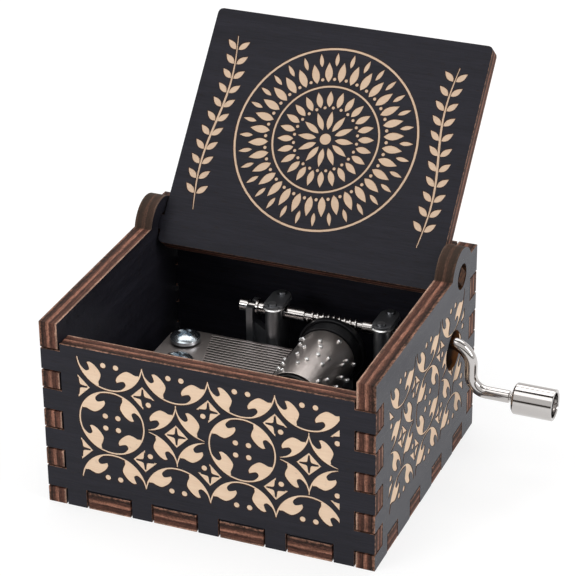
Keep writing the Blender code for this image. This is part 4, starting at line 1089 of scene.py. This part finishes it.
def make_knob(nickel):
    """A turned cup, open at the right, with a rounded left edge and a bevelled lip."""
    low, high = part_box("crank_knob")
    place = joint_place["knob_spin"]
    left, right = low.x, high.x
    inner = KNOB_RADIUS - KNOB_WALL
    rounding = 0.5 * MM
    lip = 0.16 * MM
    rounded = arc((KNOB_RADIUS - rounding, left + rounding), rounding, 0, -90, 8)
    profile = [(KNOB_RADIUS - lip, right), (KNOB_RADIUS - 0.3 * lip, right - 0.3 * lip), (KNOB_RADIUS, right - lip)]
    profile += rounded + [(1.0 * MM, left), (1.0 * MM, left + KNOB_END_WALL), (inner, left + KNOB_END_WALL),
                          (inner, right - lip), (inner + lip, right)]
    bm = bmesh.new()
    spun(bm, profile, 96, lying("X", 0, place.y, place.z), True)
    finished(bm, "crank_knob", "knob", [nickel])


def stadium(centre_x, centre_y, width, length):
    """Outline in plan of a bar along Y with round ends."""
    radius = width / 2
    half = length / 2 - radius
    return (arc((centre_x, centre_y + half), radius, 0, 180, 24)
            + arc((centre_x, centre_y - half), radius, 180, 360, 24))


def prism(bm, outline, low, high):
    """A closed block over an outline in plan. Gives its top face."""
    base = bm.faces.new([bm.verts.new((x, y, low)) for x, y in outline])
    grown = bmesh.ops.extrude_face_region(bm, geom=[base], use_keep_orig=True)["geom"]
    top = [item for item in grown if isinstance(item, bmesh.types.BMFace)][0]
    bmesh.ops.translate(bm, vec=(0, 0, high - low), verts=list(top.verts))
    bmesh.ops.recalc_face_normals(bm, faces=bm.faces)
    bm.normal_update()
    return top


def cut_away(piece, cutter):
    """Take the cutter's solid from the piece and drop the cutter."""
    cut = piece.modifiers.new("Cut", "BOOLEAN")
    cut.operation = "DIFFERENCE"
    cut.solver = "EXACT"
    cut.object = cutter
    bpy.context.view_layer.update()
    result = bpy.data.meshes.new_from_object(piece.evaluated_get(bpy.context.evaluated_depsgraph_get()))
    piece.modifiers.clear()
    piece.data = result
    bpy.data.objects.remove(cutter)


def make_strap(node, steel, bright):
    """Flat bearing cap with round ends, its stud holes, and a thin lip below in a bright metal that puts a painted
    highlight along the cap's lower edge.
    """
    low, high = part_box(node)
    middle = (low + high) / 2
    width, length = high.x - low.x, high.y - low.y
    bm = bmesh.new()
    prism(bm, stadium(middle.x, middle.y, width, length), low.z, high.z)
    strap = mesh_object(f"finished_{node}", bm)
    for material in (steel, bright):
        strap.data.materials.append(material)
    holes = bmesh.new()
    for side in (-1, 1):
        spun(holes, [(0, low.z - 0.5 * MM), (0.95 * MM, low.z - 0.5 * MM), (0.95 * MM, high.z + 0.5 * MM),
                     (0, high.z + 0.5 * MM)], 32, lying("Z", middle.x, middle.y + side * 2.55 * MM, 0))
    bmesh.ops.recalc_face_normals(holes, faces=holes.faces)
    cut_away(strap, mesh_object("stud_holes", holes))
    bm = bmesh.new()
    bm.from_mesh(strap.data)
    body = set(bm.faces)
    rim = stadium(middle.x, middle.y, width + 2 * STRAP_LIP, length + 2 * STRAP_LIP)
    lip = bmesh.new()
    top = prism(lip, rim, low.z, low.z + 0.08 * MM)
    base = [face for face in lip.faces if face.normal.z < -0.9][0]
    bmesh.ops.inset_region(lip, faces=[top], thickness=STRAP_LIP, depth=0.2 * MM, use_even_offset=True)
    bmesh.ops.inset_region(lip, faces=[top], thickness=STRAP_LIP, use_even_offset=True)
    bmesh.ops.inset_region(lip, faces=[base], thickness=2 * STRAP_LIP, use_even_offset=True)
    loops = list(top.edges) + list(base.edges)
    bmesh.ops.delete(lip, geom=[top, base], context="FACES_ONLY")
    bmesh.ops.bridge_loops(lip, edges=loops)
    bmesh.ops.recalc_face_normals(lip, faces=lip.faces)
    lip_mesh = bpy.data.meshes.new("strap_lip")
    lip.to_mesh(lip_mesh)
    lip.free()
    bm.from_mesh(lip_mesh)
    bpy.data.meshes.remove(lip_mesh)
    # The lip takes the bright metal as a painted highlight.
    for face in bm.faces:
        if face not in body:
            face.material_index = 1
    bm.to_mesh(strap.data)
    bm.free()
    shade(strap, 40)
    stand_for(strap, node, "case")


def make_comb(spring, dark):
    """The comb with fine edges, with painted shade on the walls between its teeth."""
    bm = merged_copy("comb")
    teeth_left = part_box("comb")[1].x - LONGEST_TOOTH
    for corner in bm.verts:
        slot = (COMB_REAR - corner.co.y) / TOOTH_PITCH
        aside = (round(slot) - slot) * TOOTH_PITCH
        if corner.co.x > teeth_left and 0 < round(slot) < TEETH and 0.02 * MM < abs(aside) < 0.2 * MM:
            corner.co.y += SLOT_WIDENED if aside > 0 else -SLOT_WIDENED
    soften(bm, 0.04 * MM, 1, 40)
    # Painted shade: the teeth's side walls take the near-black slot finish.
    for face in bm.faces:
        if abs(face.normal.z) < 0.5 and face.calc_center_median().x > teeth_left:
            face.material_index = 1
    finished(bm, "comb", "case", [spring, dark])


def make_comb_screw(node, zinc):
    """Pan head with a tapered cross recess, and its shank."""
    x, y = COMB_SCREW_PLACES[node]
    low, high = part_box(node)
    seat = high.z - HEAD_HEIGHT
    skirt = SKIRT_SHARE * HEAD_HEIGHT
    rise = (HEAD_HEIGHT - skirt) / (1 - cos(DOME_SPREAD))
    dome = [(0.97 * HEAD_RADIUS * sin(DOME_SPREAD * share / 9) / sin(DOME_SPREAD),
             high.z - rise * (1 - cos(DOME_SPREAD * share / 9))) for share in range(9, 0, -1)]
    profile = [(0, low.z), (1.0 * MM, low.z), (1.1 * MM, low.z + 0.1 * MM), (1.1 * MM, seat),
               (HEAD_RADIUS - 0.1 * MM, seat), (HEAD_RADIUS, seat + 0.1 * MM),
               (HEAD_RADIUS, seat + skirt - 0.1 * MM)] + dome + [(0, high.z)]
    bm = bmesh.new()
    spun(bm, profile, 56, lying("Z", x, y, 0))
    bmesh.ops.recalc_face_normals(bm, faces=bm.faces)
    screw = mesh_object(f"finished_{node}", bm)
    screw.data.materials.append(zinc)
    arm = [(1.0 * MM, -0.25 * MM), (1.0 * MM, 0.25 * MM), (0.25 * MM, 0.25 * MM)]
    cross = [corner for turn in range(4) for corner in turned_by(arm, -turn, (0, 0))]
    recess = bmesh.new()
    mouth = prism(recess, cross, high.z - 1.1 * MM, high.z + 0.3 * MM)
    bmesh.ops.scale(recess, vec=(2, 2, 1), verts=list(mouth.verts))
    place = lying("Z", x, y, 0) @ Matrix.Rotation(RECESS_TURN, 4, "Z")
    bmesh.ops.transform(recess, matrix=place, verts=recess.verts)
    cut_away(screw, mesh_object("recess", recess))
    shade(screw, 35)
    stand_for(screw, node, "case")


def finish_movement():
    casting = metal("dark_casting", (0.42, 0.43, 0.45, 1), 0.38, 0.3)
    strap = metal("strap_steel", (0.28, 0.285, 0.3, 1), 0.5, 0.25)
    spring = metal("ground_spring_steel", (0.58, 0.52, 0.5, 1), 0.36, 0.25)
    zinc = metal("zinc_plate", (0.6, 0.66, 0.71, 1), 0.22, 0.2)
    drum = metal("dark_nickel", (0.66, 0.6, 0.57, 1), 0.31, 0.3, ALONG_Y, bump=0.3, grain=1.0)
    pin = metal("pin_steel", (0.92, 0.92, 0.91, 1), 0.28, 0.1)
    nickel = metal("bright_nickel", (0.58, 0.555, 0.54, 1), 0.09, 0.12, bump=0.03)
    black = plastic("black_moulding")
    for node in ("left_bearing_strap", "right_bearing_strap"):
        make_strap(node, strap, pin)
    make_comb(spring, slot_painted_shade())
    for node in COMB_SCREW_PLACES:
        make_comb_screw(node, zinc)
    refine("bedplate", "case", casting, 0.1 * MM, 2)
    make_drum(drum, pin)
    make_gear(black)
    make_worm_shaft(nickel)
    make_crank(nickel)
    make_knob(nickel)
    keep("drum_end_plug", black)
    keep("drum_arbor", nickel)
    keep("knob_washer", zinc)
    for number in (1, 2, 3):
        keep(f"floor_screw_{number}", zinc)


def keep(node, material):
    """A CAD node that stays as it is, with its finish."""
    mesh = nodes[node].data
    mesh.materials.clear()
    mesh.materials.append(material)


def make_camera():
    data = bpy.data.cameras.new("camera")
    data.lens = CAMERA_LENS
    data.sensor_width = SENSOR
    data.sensor_fit = "HORIZONTAL"
    data.clip_start = 0.01
    camera = bpy.data.objects.new("camera", data)
    bpy.context.scene.collection.objects.link(camera)
    back = (CAMERA_PLACE - CAMERA_TARGET).normalized()
    right = Vector((0, 0, 1)).cross(back).normalized()
    up = back.cross(right)
    rolled_right = right * cos(CAMERA_ROLL) + up * sin(CAMERA_ROLL)
    rolled_up = up * cos(CAMERA_ROLL) - right * sin(CAMERA_ROLL)
    turn = Matrix((rolled_right, rolled_up, back)).transposed()
    camera.matrix_world = Matrix.Translation(CAMERA_PLACE) @ turn.to_4x4()
    bpy.context.scene.camera = camera


def make_floor():
    bm = bmesh.new()
    bmesh.ops.create_grid(bm, x_segments=1, y_segments=1, size=3.0)
    floor = mesh_object("floor", bm)
    made, wiring, shader = new_material("pale_floor")
    wiring.tree.nodes.remove(shader)
    path = wiring.add("LightPath")
    seen = wiring.maths("MAXIMUM", path.outputs["Is Camera Ray"], path.outputs["Is Glossy Ray"])
    seen = wiring.maths("MAXIMUM", seen, path.outputs["Is Transmission Ray"])
    plain = wiring.add("BsdfDiffuse", {"Color": (0.8, 0.8, 0.8, 1)})
    soft = wiring.add("BsdfDiffuse", {"Color": (0.34, 0.34, 0.34, 1)})
    glow = wiring.add("Emission", {"Color": (1, 1, 1, 1), "Strength": 0.72})
    bright = wiring.add("AddShader", {0: soft.outputs[0], 1: glow.outputs[0]})
    both = wiring.add("MixShader", {0: seen, 1: plain.outputs[0], 2: bright.outputs[0]})
    output = made.node_tree.nodes["Material Output"]
    made.node_tree.links.new(both.outputs[0], output.inputs["Surface"])
    floor.data.materials.append(made)


def area_light(name, place, size, power, target=(0, 0, 0.03)):
    data = bpy.data.lights.new(name, "AREA")
    data.shape = "RECTANGLE"
    data.size, data.size_y = size
    data.energy = power
    light = bpy.data.objects.new(name, data)
    bpy.context.scene.collection.objects.link(light)
    light.location = place
    aim = Vector(target) - Vector(place)
    light.rotation_euler = aim.to_track_quat("-Z", "Y").to_euler()


def make_light():
    world = bpy.data.worlds.new("studio")
    bpy.context.scene.world = world
    world.use_nodes = True
    wiring = Wiring(world.node_tree)
    path = wiring.add("LightPath")
    background = world.node_tree.nodes["Background"]
    direction = wiring.add("SeparateXYZ", {0: wiring.add("TexCoord").outputs["Generated"]})
    rise = wiring.between(direction.outputs[2], -0.1, 0.9)
    soft = wiring.mix(rise, (0.21, 0.21, 0.22, 1), (0.52, 0.52, 0.52, 1))
    forward = wiring.maths("MULTIPLY", direction.outputs[1], -1.0)
    slope = wiring.maths("ARCTAN2", direction.outputs[2], forward)
    band = wiring.maths("MULTIPLY", wiring.between(slope, 0.02, 0.1),
                        wiring.maths("SUBTRACT", 1.0, wiring.between(slope, 0.24, 0.34)))
    upper = wiring.maths("MULTIPLY", wiring.between(slope, 1.33, 1.37),
                         wiring.maths("SUBTRACT", 1.0, wiring.between(slope, 1.68, 1.72)))
    band = wiring.maths("MAXIMUM", band, upper)
    mirror = wiring.mix(band, (0.8, 0.79, 0.78, 1), (0.03, 0.025, 0.02, 1))
    dim = wiring.mix(path.outputs["Is Glossy Ray"], soft, mirror)
    wiring.feed(background.inputs["Color"], wiring.mix(path.outputs["Is Camera Ray"], dim, (1, 1, 1, 1)))
    area_light("front_overhead_softbox", (-0.15, -0.38, 0.9), (0.7, 0.4), 1.1)
    area_light("rear_overhead_softbox", (-0.15, 0.27, 0.9), (0.7, 0.36), 1.6)
    area_light("rear_softbox", (0.1, 0.78, 0.85), (0.8, 0.3), 2.0)
    area_light("left_softbox", (-0.75, 0.2, 0.65), (0.4, 0.5), 0.8)
    area_light("front_left_softbox", (-0.5, -0.75, 0.26), (0.35, 0.5), 2.9)
    area_light("right_softbox", (0.75, -0.1, 0.45), (0.25, 0.6), 2.2)


make_camera()
make_floor()
make_light()
make_case()
finish_movement()

bpy.context.scene.view_settings.view_transform = "Standard"
